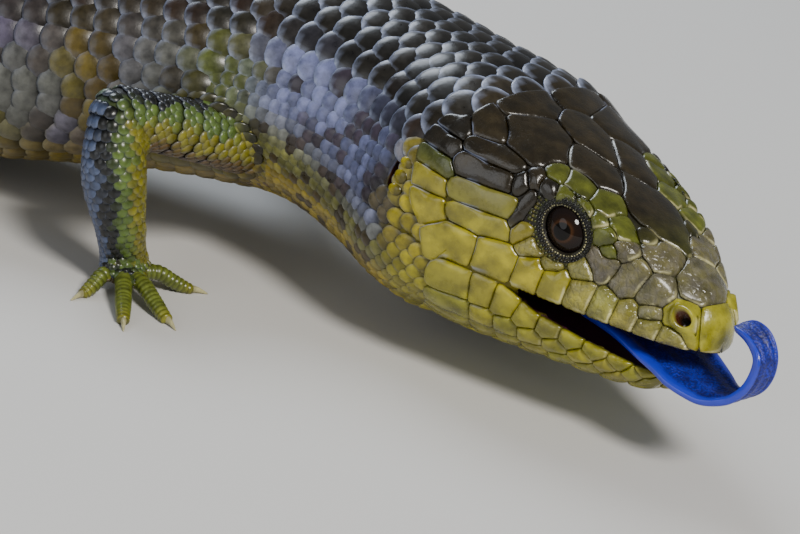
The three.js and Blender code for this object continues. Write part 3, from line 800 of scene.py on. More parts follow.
skin.data.materials.clear()
skin.data.materials.append(horn_finish("skin between scales", 0.6, 0.1, 0.05))
FLESH_NODES = ["head", "lower_jaw", "neck", "torso_front", "torso_middle", "torso_rear", "tail_base",
               "tail_middle", "tail_rear", "tail_tip"]
FORE_NODES = ("upper_arm", "forearm", "foot")
HIND_NODES = ("thigh", "shin", "foot")
FLESH_NODES += [f"{leg}_{node}" for leg in LEGS
                for node in (FORE_NODES if leg.startswith("fore") else HIND_NODES)]
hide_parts(*FLESH_NODES)
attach(skin, "root")

# Head shields: large flat plates of horn that tile the crown, brow, snout, cheeks and lips. Each
# grows out from its own place until it meets the next one, with a narrow groove between.

# Length from the snout tip, degrees round from the back, half length, half width, turn, colour
CROWN_SHIELDS = {
    "rostral": (1.3, 0, 2.4, 5.2, 0, "snout yellow"),
    "frontonasal": (6.2, 0, 3.6, 4.9, 0, "snout silver"),
    "frontal": (18.2, 0, 6.4, 4.2, 0, "head brown"),
    "interparietal": (36.2, 0, 4.6, 2.8, 0, "head brown"),
}
SIDE_SHIELDS = {
    "nasal": (3.9, 58, 2.9, 2.9, 0, "snout yellow"),
    "prefrontal": (11.6, 21, 2.7, 3.1, 10, "snout silver"),
    "first brow": (18.2, 34, 2.6, 2.1, 12, "brow olive"),
    "second brow": (22.8, 25, 2.7, 2.8, 8, "brow olive"),
    "third brow": (27.4, 28, 2.5, 2.5, 4, "brow olive"),
    "fourth brow": (31.0, 32, 1.7, 1.9, 0, "brow olive"),
    "lash one": (20.7, 39.0, 1.6, 1.2, 6, "brow olive"),
    "lash two": (23.9, 38.6, 1.6, 1.1, 4, "brow olive"),
    "lash three": (27.0, 39.6, 1.6, 1.1, 0, "brow olive"),
    "lash four": (30.1, 42.0, 1.4, 1.1, 0, "nape brown"),
    "lash five": (32.6, 43.0, 1.3, 1.5, 0, "head brown"),
    "frontoparietal": (29.0, 10, 4.6, 2.7, -8, "head brown"),
    "parietal": (38.4, 22, 5.0, 4.3, -6, "head brown"),
    "nuchal": (45.6, 8, 2.6, 5.0, 0, "head brown"),
    "upper temple": (45.2, 35, 3.4, 2.7, -6, "head brown"),
    "temple one": (40.6, 47, 4.6, 2.1, -8, "head brown"),
    "temple two": (40.0, 57, 5.2, 2.0, -6, "head brown"),
    "temple three": (38.2, 68, 5.4, 1.9, -4, "flank green"),
    "temple four": (37.4, 77, 5.4, 1.7, -2, "cheek yellow"),
    "lip ten": (40.4, 86.0, 3.3, 1.9, 0, "cheek yellow"),
    "lip nine": (33.8, 85.0, 3.3, 2.1, 0, "cheek yellow"),
    "behind the eye": (32.3, 64, 0.8, 3.0, 0, "nape brown"),
    "above the temple": (34.2, 51, 1.2, 1.7, 0, "nape brown"),
    "below the temple": (31.4, 73, 1.3, 1.5, 0, "cheek yellow"),
    "back temple one": (51.0, 46, 3.0, 2.6, 0, "nape brown"),
    "back temple two": (50.6, 56, 3.2, 2.5, 0, "nape brown"),
    "back temple three": (50.0, 65, 3.2, 2.1, 0, "flank green"),
    "back temple four": (49.4, 73, 3.0, 1.9, 0, "cheek yellow"),
    "back temple five": (47.6, 81, 3.0, 1.8, 0, "cheek yellow"),
    "under the eye one": (28.8, 77, 2.0, 1.3, 0, "lip olive"),
    "under the eye two": (24.7, 78.4, 2.0, 1.0, 0, "lip olive"),
    "under the eye three": (20.3, 73.5, 1.9, 1.4, 0, "lip olive"),
    "beside the frontal": (15.4, 18.5, 1.7, 1.3, 0, "head brown"),
    "corner of the brow": (17.2, 53, 1.3, 1.5, 0, "brow olive"),
    "before the eye one": (18.4, 44.5, 1.5, 1.6, 0, "brow olive"),
    "before the eye two": (15.4, 46, 1.9, 1.8, 0, "snout silver"),
    "cheek one": (9.0, 52, 2.2, 2.9, 0, "snout silver"),
    "cheek two": (13.2, 58.5, 2.3, 2.9, 0, "snout silver"),
    "cheek three": (17.4, 62.5, 2.0, 2.3, 0, "snout silver"),
    "small lip": (8.8, 73, 1.8, 1.5, 0, "snout silver"),
}
LIP_PLACES = (4.9, 8.3, 11.8, 15.4, 19.2, 23.3, 27.7)
for count, along in enumerate(LIP_PLACES):
    lip_colour = "lip olive" if count < 5 else "cheek yellow"
    SIDE_SHIELDS[f"lip {count + 1}"] = (along, 84, 1.95, 2.5, 0, lip_colour)
JAW_ROWS = ((99, 2.0, 1.7, 9), (115, 2.1, 2.1, 8), (134, 2.3, 2.4, 8), (156, 2.7, 2.8, 7))
for row, (around, half_long, half_wide, number) in enumerate(JAW_ROWS):
    for count in range(number):
        along = 4.0 + (4.2 + 0.35 * row) * count + 1.6 * (row % 2)
        SIDE_SHIELDS[f"jaw {row + 1} {count + 1}"] = (along, around, half_long, half_wide, 0,
                                                     "jaw yellow")
CROWN_SHIELDS["mental"] = (1.6, 180, 2.2, 3.4, 0, "jaw yellow")
for count in range(7):
    CROWN_SHIELDS[f"chin {count + 1}"] = (6.4 + 5.2 * count, 180, 2.7, 3.2, 0, "jaw yellow")

SHIELD_RAYS = 48
RAY_STEP = 0.05
RAY_REACH = 11
NEIGHBOURS = 14
GROOVE = 0.03
WALL = 1.0
LIP_LINE = 90
LIP_GAP = 0.03
EYE_CLEAR = 4.95
CHEEK_FROM = 66
PAST_THE_CHIN = 240
EDGE_INSETS = (0.0, 0.1, 0.24, 0.45, 0.8)
INNER_SHARES = (0.8, 0.55, 0.3, 0.12)
TIP_ROUND = 3.55
draw_shields = np.random.default_rng(7)


def coat_back_edge(around):
    """The head shields reach back to here and the body's rows of scales begin."""
    return through([(0, 48.5), (35, 49), (46, 53), (57, 53.4), (72, 52), (82, 50), (92, 44),
                    (110, 43), (180, 43)], np.abs(around))


def unrolled(seed, points):
    """Distance from a shield's seed, as a share of its own half length and width."""
    centre, axes, sizes = seed
    offset = points - centre
    parts = [(offset @ axis) / size for axis, size in zip(axes, sizes)]
    return np.sqrt(sum(part ** 2 for part in parts))


seeds = []
for name, (along, around, half_long, half_wide, turn, colour) in CROWN_SHIELDS.items():
    seeds.append((name, along, float(around), half_long, half_wide, turn, colour))
for name, (along, around, half_long, half_wide, turn, colour) in SIDE_SHIELDS.items():
    for side in (1, -1):
        shift = draw_shields.uniform(-0.12, 0.12)
        seeds.append((name, along + shift, float(side * around), half_long, half_wide, side * turn,
                      colour))
seed_shapes = []
for name, along, around, half_long, half_wide, turn, colour in seeds:
    point, normal, across, ahead = body_frame(along, around)
    spin = math.radians(turn)
    main = ahead * math.cos(spin) + across * math.sin(spin)
    cross = across * math.cos(spin) - ahead * math.sin(spin)
    seed_shapes.append((point, (main, cross, normal), (half_long, half_wide, half_wide)))


def own_ground(point, along, around, start_around):
    """Where a shield may lie: its own jaw, before the rows of scales and off eye and ear."""
    side = np.abs(around)
    upper = abs(start_around) < LIP_LINE
    own_jaw = (side < LIP_LINE - LIP_GAP) if upper else (side > LIP_LINE + LIP_GAP)
    inside = np.where(along < MOUTH_CORNER + 1, own_jaw, True)
    inside &= (along > 0.0) & (along < coat_back_edge(around) + 1.2) & (side < PAST_THE_CHIN)
    eye_point = body_frame(EYE["along"], math.copysign(EYE["around"], start_around or 1))[0]
    return inside & (np.linalg.norm(point - eye_point, axis=-1) > EYE_CLEAR)


def on_rays(name, along, around, girth, angle, out):
    """Places at a distance from a shield's seed; round the tip of the snout they go over the end."""
    if name not in ("rostral", "mental"):
        return along - np.cos(angle) * out, around + np.sin(angle) * out / girth
    start = TIP_ROUND * math.sqrt(along)
    down = start - np.cos(angle) * out
    aside = np.sin(angle) * out
    turned = np.degrees(np.arctan2(aside, np.maximum(down, 0.02)))
    reach = np.where(down > 0, np.hypot(down, aside), 0)
    return (reach / TIP_ROUND) ** 2, around + turned


def on_own_jaw(along, around, start_around):
    """Keeps a lip shield's edge on its own side of the mouth line."""
    side = np.abs(around)
    if abs(start_around) < LIP_LINE:
        kept = np.minimum(side, LIP_LINE - LIP_GAP)
    else:
        kept = np.maximum(side, LIP_LINE + LIP_GAP)
    return np.where(along < MOUTH_CORNER + 1, np.copysign(kept, around), around)


def shield_outline(index):
    """The farthest ground on each ray from a shield's seed that is nearer to it than to any other."""
    name, along, around = seeds[index][:3]
    point, axes, sizes = seed_shapes[index]
    in_front = along < MOUTH_CORNER - 1
    near = [k for k, shape in enumerate(seed_shapes)
            if k != index and np.linalg.norm(shape[0] - point) < NEIGHBOURS
            and not (in_front and (abs(seeds[k][2]) > LIP_LINE) != (abs(around) > LIP_LINE))]
    girth = np.linalg.norm(body_point(along, around + 1) - body_point(along, around - 1)) / 2
    angle = np.arange(SHIELD_RAYS) * 2 * math.pi / SHIELD_RAYS
    steps = np.arange(RAY_STEP, RAY_REACH, RAY_STEP)
    rays_along, rays_around = on_rays(name, along, around, girth, angle[:, None], steps)
    ground = body_point(rays_along, rays_around)
    own = unrolled(seed_shapes[index], ground)
    others = np.min([unrolled(seed_shapes[k], ground) for k in near], axis=0)
    good = (own < others) & own_ground(ground, rays_along, rays_around, around) & (own < 3)
    reach = np.where(good.all(1), len(steps), np.argmin(good, axis=1)) * RAY_STEP
    smooth = (np.roll(reach, 1) + 2 * reach + np.roll(reach, -1)) / 4
    reach = np.maximum(np.minimum(reach + 0.05, smooth + 0.12) - GROOVE, 0.15)
    return angle, reach, girth


def shield_height(along, around, depth, share, tail):
    """Height of a shield's top over the body: rounded rim, low dome, rear edge a little lifted."""
    soft = 1.0 if abs(around) > 78 else 0.55
    rim = 0.5 * (1 - np.exp(-depth / (0.16 + 0.14 * soft)))
    dome = (0.14 + 0.2 * soft) * (1 - share ** 2)
    lifted = 0.08 + 0.42 * ease((along - 32) / 9)
    return rim + dome + lifted * tail - 0.46


def on_flat_map(along, around):
    """The unwrap of the whole skin: along the back by degrees round it."""
    return np.stack([along / BODY_LENGTH * 0.7 + 0.02, around / 400 + 0.5], 1)


# Rings of the nostril shield: radius, and height over the body
NOSE_PROFILE = {"ring": (2.35, 0.0), "slope": (2.0, 0.45), "crest": (1.6, 0.85),
                "top": (1.25, 0.8), "hole": (0.95, 0.2), "floor": (0.75, -1.6)}
SNOUT_SHEEN_SHARE = {"snout silver": 0.2, "lip olive": 0.08}
plates = {"crown_shields": [], "snout_shields": [], "cheek_shields": [], "jaw_shields": []}
for index, (name, along, around, half_long, half_wide, turn, colour) in enumerate(seeds):
    angle, reach, girth = shield_outline(index)
    base = paint(colour) * draw_shields.uniform(0.85, 1.15)
    on_cheek = abs(around) > CHEEK_FROM
    green = draw_shields.uniform(0, 0.45) if on_cheek else 0
    base = blend(base, paint("leg green"), np.array([green]))[0]
    widths = [(reach - inset * np.minimum(1, reach / 2), None) for inset in EDGE_INSETS]
    widths += [((reach - 0.8 * np.minimum(1, reach / 2)) * share, None) for share in INNER_SHARES]
    if name == "nasal":
        widths = widths[:4] + [(np.minimum(width, reach * (0.9 if width > 1.9 else 0.8)), up)
                               for width, up in NOSE_PROFILE.values()]
    rows, maps, tints = [], [], []
    for count, (radius, fixed) in enumerate(widths):
        depth = reach - radius
        tail = (np.clip(-np.cos(angle), 0, 1) * radius / np.maximum(reach, 0.1)) ** 2
        share = radius / reach
        height = shield_height(along, around, depth, share, tail) if fixed is None else fixed
        place_along, place_around = on_rays(name, along, around, girth, angle, radius)
        place_along = np.maximum(place_along, 0.01)
        place_around = on_own_jaw(place_along, place_around, around)
        rows.append(body_point(place_along, place_around, height))
        maps.append(on_flat_map(place_along, place_around))
        own = body_colour(np.maximum(place_along, 0.3), place_around)
        tint = blend(base, own, 0.3) * (0.7 + 0.6 * mottle(rows[-1], 1.5, 37)[:, None])
        olive = ease((mottle(rows[-1], 5, 43) - 0.3) / 0.4) * (0.5 if on_cheek else 0)
        high = ease((84 - np.abs(place_around)) / 14) * (0.65 if on_cheek else 0)
        tint = blend(tint, paint("lip olive"), np.maximum(olive, high))
        # Painted sheen: patches of pale lilac highlight mixed into the snout and front lip shields, as
        # much as the share set for their colour.
        sheen = 0.45 + 0.55 * ease((mottle(rows[-1], 0.8, 41) - 0.42) / 0.3)
        tint = blend(tint, paint("sheen lilac"), sheen * SNOUT_SHEEN_SHARE.get(colour, 0))
        # Pale edges, patchy: a cream line on the front edges of the shields on the snout and a blue-white
        # one on the raised rear edges of those behind, partly their own pale edge and partly painted
        # highlight.
        patchy = ease((mottle(rows[-1], 2.2, 31) - 0.4) / 0.15)
        edge = np.exp(-((depth - 0.2) / 0.14) ** 2)
        front = np.clip(np.cos(angle + 0.4), 0, 1) if along < 24 else np.clip(-np.cos(angle), 0, 1)
        pale_edge_and_highlight = edge * front * patchy * (0.35 if colour == "jaw yellow" else 0.75)
        tint = blend(tint, blend(paint("rim cream"), paint("blue edge highlight"), (along - 24) / 10), pale_edge_and_highlight)
        # Painted shade: each shield darkens towards its edge, into the groove between shields.
        groove_shade = (0.62 if abs(around) < 80 else 0.4) * np.exp(-depth / 0.09)
        tint = tint * (1 - groove_shade)[:, None]
        # The nostril's inner wall is painted dark rust and its floor near black: painted shade in the
        # hole.
        if fixed is not None and fixed < 0.5 and radius[0] < 1.4:
            tint = np.tile(paint("ear rust") * (0.5 if fixed > 0 else 0.04), (SHIELD_RAYS, 1))
        tints.append(tint)
    foot_along, foot_around = on_rays(name, along, around, girth, angle, reach)
    foot_around = on_own_jaw(foot_along, foot_around, around)
    foot = body_point(np.maximum(foot_along, 0.01), foot_around, -WALL)
    points, (sides, ends) = closed_tube(np.array([foot] + rows))
    # The foot ring, where the shield's side wall meets the skin, is painted at half tone as painted shade
    # under the shield's edge.
    tint_rows = np.concatenate([tints[0] * 0.5] + tints + [tints[0][:1] * 0.5, tints[-1][:1]])
    flat_map = np.concatenate([maps[0]] + maps + [maps[-1][:1], maps[-1][:1]])
    if abs(around) > LIP_LINE:
        group = "jaw_shields"
    elif colour in ("snout silver", "lip olive"):
        group = "snout_shields"
    elif on_cheek:
        group = "cheek_shields"
    else:
        group = "crown_shields"
    plates[group].append((points, sides, ends, tint_rows, flat_map))

SHIELD_HORN = {
    "crown_shields": horn_finish("crown shields", 0.25, 0.5, 0.11, 900.0, 0.15),
    "snout_shields": horn_finish("wrinkled snout shields", 0.24, 0.6, 0.19, 800.0, 0.5),
    "cheek_shields": horn_finish("cheek shields", 0.26, 0.6, 0.09, 700.0),
    "jaw_shields": horn_finish("jaw shields", 0.28, 0.5, 0.08, 700.0),
}


def join_plates(name, items):
    starts = np.cumsum([0] + [len(item[0]) for item in items])
    sides = np.concatenate([item[1] + start for item, start in zip(items, starts)])
    ends = np.concatenate([item[2] + start for item, start in zip(items, starts)])
    piece = new_piece(name, np.concatenate([item[0] for item in items]), [sides, ends])
    give_colour(piece, "tint", np.concatenate([item[3] for item in items]))
    give_map(piece, np.concatenate([item[4] for item in items]))
    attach(piece, "root")
    return piece


for group, items in plates.items():
    shields = join_plates(group, items)
    shields.data.materials.append(SHIELD_HORN[group])

# Body scales: overlapping plates of horn in staggered rows from the nape to the tail, large on the
# back and small at the side of the neck. Each is rooted under the one before and lifts at its rear.

DISC_STEPS = np.array([-1, -0.82, -0.35, 0.35, 0.82, 1.0])
HALF_PATCH = 0.0015


def scale_pattern(steps):
    """A round scale: a grid pressed to a disc, with a rim and a flat underside."""
    size = len(steps)
    u, v = np.meshgrid(steps, steps, indexing="ij")
    x = u * np.sqrt(1 - v ** 2 / 2)
    y = v * np.sqrt(1 - u ** 2 / 2)
    grid = np.arange(size * size).reshape(size, size)
    quads = np.stack([grid[:-1, :-1], grid[1:, :-1], grid[1:, 1:], grid[:-1, 1:]], -1).reshape(-1, 4)
    border = np.concatenate([grid[:-1, 0], grid[-1, :-1], grid[:0:-1, -1], grid[0, :0:-1]])
    lower = size * size + np.arange(len(border))
    after = np.roll(np.arange(len(border)), -1)
    walls = np.stack([border[after], border, lower, lower[after]], 1)
    under = lower[::-1][None]
    x = np.concatenate([x.ravel(), x.ravel()[border]])
    y = np.concatenate([y.ravel(), y.ravel()[border]])
    is_lower = np.arange(len(x)) >= size * size
    return x, y, is_lower, (quads, walls, under)


def lay_scales(name, finish, points, normals, rearward, length, width, lift, dome, tints,
               rim_highlights, places, steps=DISC_STEPS, sink=0.06, thick=0.28):
    """Lays one scale at each point, lying rearward, as one joined piece."""
    x, y, is_lower, (quads, walls, under) = scale_pattern(steps)
    normals = unit(normals)
    rearward = unit(rearward - normals * np.sum(rearward * normals, -1, keepdims=True))
    across = np.cross(normals, rearward)
    far = np.hypot(x, y)
    height = (lift[:, None] * (0.5 + 0.5 * x) + dome[:, None] * (1 - far ** 2)
              - sink * length[:, None] * (0.5 - 0.5 * x) - (width[:, None] * y) ** 2 / 200)
    height = height - 0.12 * (far > 0.95) - np.where(is_lower, thick, 0)
    spots = (points[:, None] + rearward[:, None] * (length[:, None] / 2 * x)[..., None]
             + across[:, None] * (width[:, None] / 2 * y)[..., None]
             + normals[:, None] * height[..., None])
    spots[..., 2] = np.maximum(spots[..., 2], 0.02)
    count = len(points)
    shift = (np.arange(count) * len(x))[:, None, None]
    polygons = [(block[None] + shift).reshape(-1, block.shape[1]) for block in (quads, walls, under)]
    piece = new_piece(name, spots.reshape(-1, 3), polygons)
    # Painted light on each scale: a pale edge highlight round its rear rim, painted shade darkening it
    # towards its covered root and along its outline, and its underside at half tone as painted shade.
    pale_edge_and_highlight = ease((far - 0.84) / 0.14) * ease((x + 0.1) / 0.5)
    shade = 0.2 + 0.8 * ease((x + 0.55) / 0.95)
    shade = shade * (1 - 0.45 * ease((far - 0.86) / 0.14))
    colours = tints[:, None] * shade[None, :, None]
    colours = blend(colours, rim_highlights[:, None, :3] * np.ones((1, len(x), 1)), pale_edge_and_highlight[None] * rim_highlights[:, 3:4])
    colours = np.where(is_lower[None, :, None], colours * 0.5, colours)
    give_colour(piece, "tint", colours.reshape(-1, 3))
    patch = np.stack([x, y], 1) * HALF_PATCH
    give_map(piece, (places[:, None] + patch[None]).reshape(-1, 2))
    piece.data.materials.append(finish)
    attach(piece, "root")
    return piece


def row_angles(width_at, girth_along):
    """Places of the rows of scales round one half of the body, each as wide as asked."""
    angles = []
    around = 0.0
    while True:
        inch = np.linalg.norm(body_point(girth_along, around + 1) - body_point(girth_along, around))
        turn = width_at(around) / max(inch, 0.05)
        if around + turn > 180:
            break
        angles.append(around + turn / 2)
        around += turn
    spare = (180 - around) / max(len(angles), 1)
    return np.array([angle + spare * (k + 0.5) for k, angle in enumerate(angles)])


draw_scales = np.random.default_rng(11)


def scale_places(angles, pitch_at, begin_at, end_at):
    """Roots along each row, neighbours half a scale apart, on both sides."""
    found = []
    for k, angle in enumerate(angles):
        along = begin_at(angle) + 0.5 * (k % 2) * pitch_at(angle, begin_at(angle))
        while along < end_at(angle):
            found.append((along, angle, pitch_at(angle, along)))
            along += pitch_at(angle, along)
    found = np.array(found)
    both = np.concatenate([found, found * [1, -1, 1]])
    both[:, 0] += draw_scales.uniform(-0.12, 0.12, len(both)) * both[:, 2] * 0.5
    both[:, 1] += draw_scales.uniform(-0.4, 0.4, len(both))
    return both


def off_the_ear_slit(ahead, turn):
    return np.hypot(ahead / 1.75, turn / 3.6) > 1


def off_the_ear(along, around):
    point = body_point(along, around)
    clear = np.ones(along.shape, bool)
    for side in (1, -1):
        place, normal, turn, ahead = body_frame(EAR["along"], side * EAR["around"])
        offset = point - place
        clear &= off_the_ear_slit(offset @ ahead, offset @ turn)
    return clear


def fill_by_the_ears(spot, normal, *others):
    """Adds a scale on each bare bit of skin round the ears, like the one nearest to it."""
    spot, normal, others = list(spot), list(normal), [list(values) for values in others]
    for side in (1, -1):
        place, outward, turn, ahead = body_frame(EAR["along"], side * EAR["around"])
        offset = skin_points - place
        bare = (np.linalg.norm(offset, axis=1) < 9) & (offset @ ahead < 2.5)
        bare &= (offset @ outward > -1.2) & off_the_ear_slit(offset @ ahead, offset @ turn)
        bare &= skin_normals @ outward > 0.8
        for index in np.nonzero(bare)[0]:
            gap = np.linalg.norm(np.array(spot) - skin_points[index], axis=1)
            nearest = int(np.argmin(gap))
            if gap[nearest] > 1.9:
                spot.append(skin_points[index])
                normal.append(skin_normals[index])
                for values in others:
                    values.append(values[nearest])
    return [np.array(values) for values in (spot, normal, *others)]


horn_scale = horn_finish("body scales", 0.36, 0.32, 0.05)
neck_horn = horn_finish("neck scales", 0.34, 0.34, 0.04)
MOST_OFF_SKIN = 1.5
FINE_STEPS = np.array([-1, -0.86, -0.5, 0, 0.5, 0.86, 1.0])
SMALL_STEPS = np.array([-1, -0.62, 0.62, 1.0])


def cover(name, finish, rows, pitch, begin, end, girth, lift, dome, steps=DISC_STEPS):
    """One stretch of the body's rows of scales, with the lift of their rear edge and their dome."""
    angles = row_angles(rows, girth)
    places = scale_places(angles, pitch, begin, end)
    along, around, step = places.T
    along, around, step = places[(along < BODY_LENGTH - 1) & off_the_ear(along, around)].T
    point, normal, turn, ahead = body_frame(along, around)
    near = [skin_tree.find_nearest(tuple(spot)) for spot in point]
    spot = np.array([hit[0] for hit in near])
    shown = np.array([hit[3] for hit in near]) < MOST_OFF_SKIN
    spot, normal, along, around, step, ahead = [values[shown] for values in
                                                (spot, normal, along, around, step, ahead)]
    if name == "neck_scales":
        spot, normal, along, around, step, ahead = fill_by_the_ears(spot, normal, along, around,
                                                                    step, ahead)
    wide = np.array([rows(abs(angle)) for angle in around])
    shrink = through(HALF_WIDTH, along) / through(HALF_WIDTH, girth)
    wide = wide * np.clip(shrink, 0.2, 1.25)
    uneven = 0.2 + 0.22 * ease((104 - along) / 10)
    tint = body_colour(along, around)
    tint = tint * (1 + uneven * draw_scales.uniform(-1, 1, len(along)))[:, None]
    side = np.abs(around)
    # Strength and colour of the painted highlight on the scales' rear rims: blue-white over the back and
    # neck sides, cream towards the belly, strongest forwards.
    strength = 0.6 * ease((95 - side) / 40) * ease((150 - along) / 60) + 0.12
    colour = blend(paint("rim cream"), paint("blue edge highlight"), ease((120 - side) / 30))
    rim_highlights = np.concatenate([colour, strength[:, None]], 1)
    size = np.clip(step, 1, 8)
    grown = np.clip(size / 4, 0.3, 1)
    flatter = 1 - 0.45 * ease((62 - along) / 8)
    return lay_scales(name, finish, spot, normal, -ahead, size * 1.6, wide * 1.75,
                      lift * grown, dome * grown * flatter, tint, rim_highlights, on_flat_map(along, around),
                      steps)


def neck_width(side):
    return float(through([(0, 4.4), (52, 4.2), (66, 2.6), (80, 1.9), (118, 1.9), (135, 2.6),
                          (180, 3)], side))


def neck_pitch(side, along):
    fine = float(through([(0, 4.1), (52, 4.0), (66, 2.7), (80, 2.2), (118, 2.2), (135, 2.6),
                          (180, 3)], side))
    coarse = 1 + 0.45 * float(ease((60 - along) / 8))
    return fine * coarse * float(through([(44, 0.9), (60, 1.0), (104, 1.12)], along))


def torso_width(side):
    return float(through([(0, 4.5), (60, 4.2), (90, 3.7), (130, 3.9), (180, 4.4)], side))


def shoulder_edge(side):
    return 99 + 14 * math.exp(-((side - 97) / 24) ** 2)


cover("neck_scales", neck_horn, neck_width, neck_pitch,
      lambda side: float(coat_back_edge(side)) + 0.2, shoulder_edge, 78, 0.95, 0.6, FINE_STEPS)
cover("chest_scales", horn_scale, torso_width, lambda side, along: 4.2,
      shoulder_edge, lambda side: 190, 160, 1.05, 0.8, FINE_STEPS)
cover("trunk_scales", horn_scale, torso_width, lambda side, along: 4.3,
      lambda side: 190, lambda side: 288, 215, 1.0, 0.75)
TAIL_STRETCHES = ((286, 322, 3.6), (320, 362, 3.6), (360, 402, 3.5), (400, 440, 3.3),
                  (438, 474, 3.0), (472, 504, 2.4))
for count, (start, stop, size) in enumerate(TAIL_STRETCHES):
    cover(f"tail_scales_{count + 1}", horn_scale, lambda side: size,
          lambda side, along: size * 1.15, lambda side: start, lambda side: stop,
          (start + stop) / 2, 0.85, 0.5)

# Leg scales: rows of small plates of horn down each limb to the root of the toes, overlapping
# downwards. Their colours turn from slate behind to yellow in front.

leg_horn = horn_finish("leg scales", 0.34, 0.35, 0.04)
LEG_ROWS = 15
WHOLE_LIMB_STATIONS = 160
BELOW_KNEE = slice(60, 150)
MOST_OFF_LEG = 2.8
SOLE_CLEAR = 0.8
LEG_STEPS = np.array([-1, -0.74, 0, 0.74, 1.0])


def whole_limb(leg):
    """Rings from the shoulder or hip over the elbow or knee to the root of the toes."""
    count = WHOLE_LIMB_STATIONS
    ankle = on_floor_plan(leg["joints"][4])
    palm = on_floor_plan(leg["palm"])
    front = palm + floor_way(leg["heading"]) * 3
    front[2] = 2.6
    points = [on_floor_plan(joint) for joint in leg["joints"]]
    path, travel = bent_path(points + [ankle * 0.45 + palm * 0.55, palm, front], count)
    side = unit(np.cross(points[2] - points[0], points[4] - points[2]))
    share = np.linspace(0, 1, count)
    radii = [joint[3] for joint in leg["joints"]]
    wide = through(even_table(radii + [4, 4.4, 3.2]), share)
    thick = through(even_table(radii + [3.2, 2.5, 1.8]), share)
    across = blend(np.tile(side, (count, 1)),
                   np.tile(np.cross(floor_way(leg["heading"]), [0, 0, 1.0]), (count, 1)),
                   ease((share - 0.5) / 0.2))
    return path, round_rings(path, travel, across, wide, thick, LIMB_POINTS)


def limb_scales(rings, path):
    """Places, normals and ways down a limb, staggered from ring to ring, smaller at the foot."""
    spots, outs, ways, sizes = [], [], [], []
    lengths = np.concatenate([[0], np.cumsum(np.linalg.norm(np.diff(path, axis=0), axis=1))])
    at, step = 0.6, 0
    while at < lengths[-1]:
        k = min(np.searchsorted(lengths, at), len(path) - 2)
        share = (np.arange(LEG_ROWS) + 0.5 * (step % 2)) / LEG_ROWS * LIMB_POINTS
        low = share.astype(int)
        part = (share - low)[:, None]
        spot = rings[k][low % LIMB_POINTS] * (1 - part) + rings[k][(low + 1) % LIMB_POINTS] * part
        girth = np.linalg.norm(np.roll(rings[k], -1, 0) - rings[k], axis=1).sum()
        spots.append(spot)
        outs.append(spot - path[k])
        ways.append(np.tile(path[k + 1] - path[k - 1], (LEG_ROWS, 1)))
        sizes.append(np.full(LEG_ROWS, girth / LEG_ROWS))
        at += 0.52 * girth / LEG_ROWS + 0.12
        step += 1
    return [np.concatenate(column) for column in (spots, outs, ways, sizes)]


def fill_bare_spots(spot, facing, way, size, path):
    """Adds a scale wherever the skin of the shin and foot is farther than a scale from the rest."""
    lower = path[BELOW_KNEE][::3]
    from_side = np.linalg.norm(skin_points[:, None, ::2] - lower[None, ::2, ::2], axis=2).min(1)
    close = np.nonzero((from_side < 6.5) & (skin_points[:, 2] > 1.0))[0]
    apart = np.linalg.norm(skin_points[close, None] - lower[None], axis=2)
    close, apart = close[apart.min(1) < 5.2], apart[apart.min(1) < 5.2]
    travel = np.gradient(path, axis=0)[BELOW_KNEE][::3][np.argmin(apart, 1)]
    spot, facing, way, size = list(spot), list(facing), list(way), list(size)
    for index, ahead in zip(close, travel):
        gap = np.linalg.norm(np.array(spot) - skin_points[index], axis=1)
        nearest = int(np.argmin(gap))
        if gap[nearest] > 0.78 * size[nearest]:
            spot.append(skin_points[index])
            facing.append(skin_normals[index])
            way.append(ahead)
            size.append(size[nearest] * 0.9)
    return np.array(spot), np.array(facing), np.array(way), np.array(size)


for name, leg in LEGS.items():
    path, rings = whole_limb(leg)
    spots, outs, ways, sizes = limb_scales(rings, path)
    hits = [skin_tree.find_nearest(tuple(spot)) for spot in spots]
    away = np.array([hit[3] for hit in hits])
    facing = np.array([hit[1] for hit in hits])
    below_knee = np.arange(len(spots)) > 0.4 * len(spots)
    straight = np.sum(facing * unit(outs), 1) > np.where(below_knee, 0.45, 0.1)
    keep = (away < MOST_OFF_LEG) & (spots[:, 2] > SOLE_CLEAR) & straight
    spot = np.array([hit[0] for hit in hits])[keep]
    facing, way, size = facing[keep], ways[keep], sizes[keep]
    spot, facing, way, size = fill_bare_spots(spot, facing, way, size, path)
    tint = leg_colour(spot, facing, np.abs(unit(way)[:, 2]))
    end_on = np.abs(np.sum(unit(way) * facing, 1)) > 0.7
    level = np.abs(facing[:, 2]) > 0.75
    way[end_on & level] = floor_way(leg["heading"])
    way[end_on & ~level] = [0, 0, -1]
    tint = tint * draw_scales.uniform(0.85, 1.15, len(spot))[:, None]
    # Each leg scale's rear rim gets a painted highlight of blue-white over its own colour.
    rim_highlights = np.concatenate([blend(tint, paint("blue edge highlight"), 0.6), np.full((len(spot), 1), 0.22)], 1)
    middle = spot.mean(0)
    corner = np.array([0.8 if name.startswith("fore") else 0.9, 0.25 if "right" in name else 0.75])
    places = corner + (spot - middle)[:, :2] * 0.0012 + (spot - middle)[:, 2:] * [0.0004, 0.0011]
    lay_scales(f"{name}_scales", leg_horn, spot, facing, way, size * 1.25,
               size * 1.16, size * 0.24, size * 0.18, tint, rim_highlights, places, LEG_STEPS, 0.03, 0.2)

# Toes and claws: five toes to a foot, ringed by narrow scales that stand out at their front edge,
# and a curved claw of pale horn at the end of each. All are round tubes, closed at both ends.

RING_STEP = 0.9
RING_SWELL = 0.16
TOE_STATIONS = 90
TOE_POINTS = 16
CLAW_POINTS = 12
toe_items, claw_items = [], []


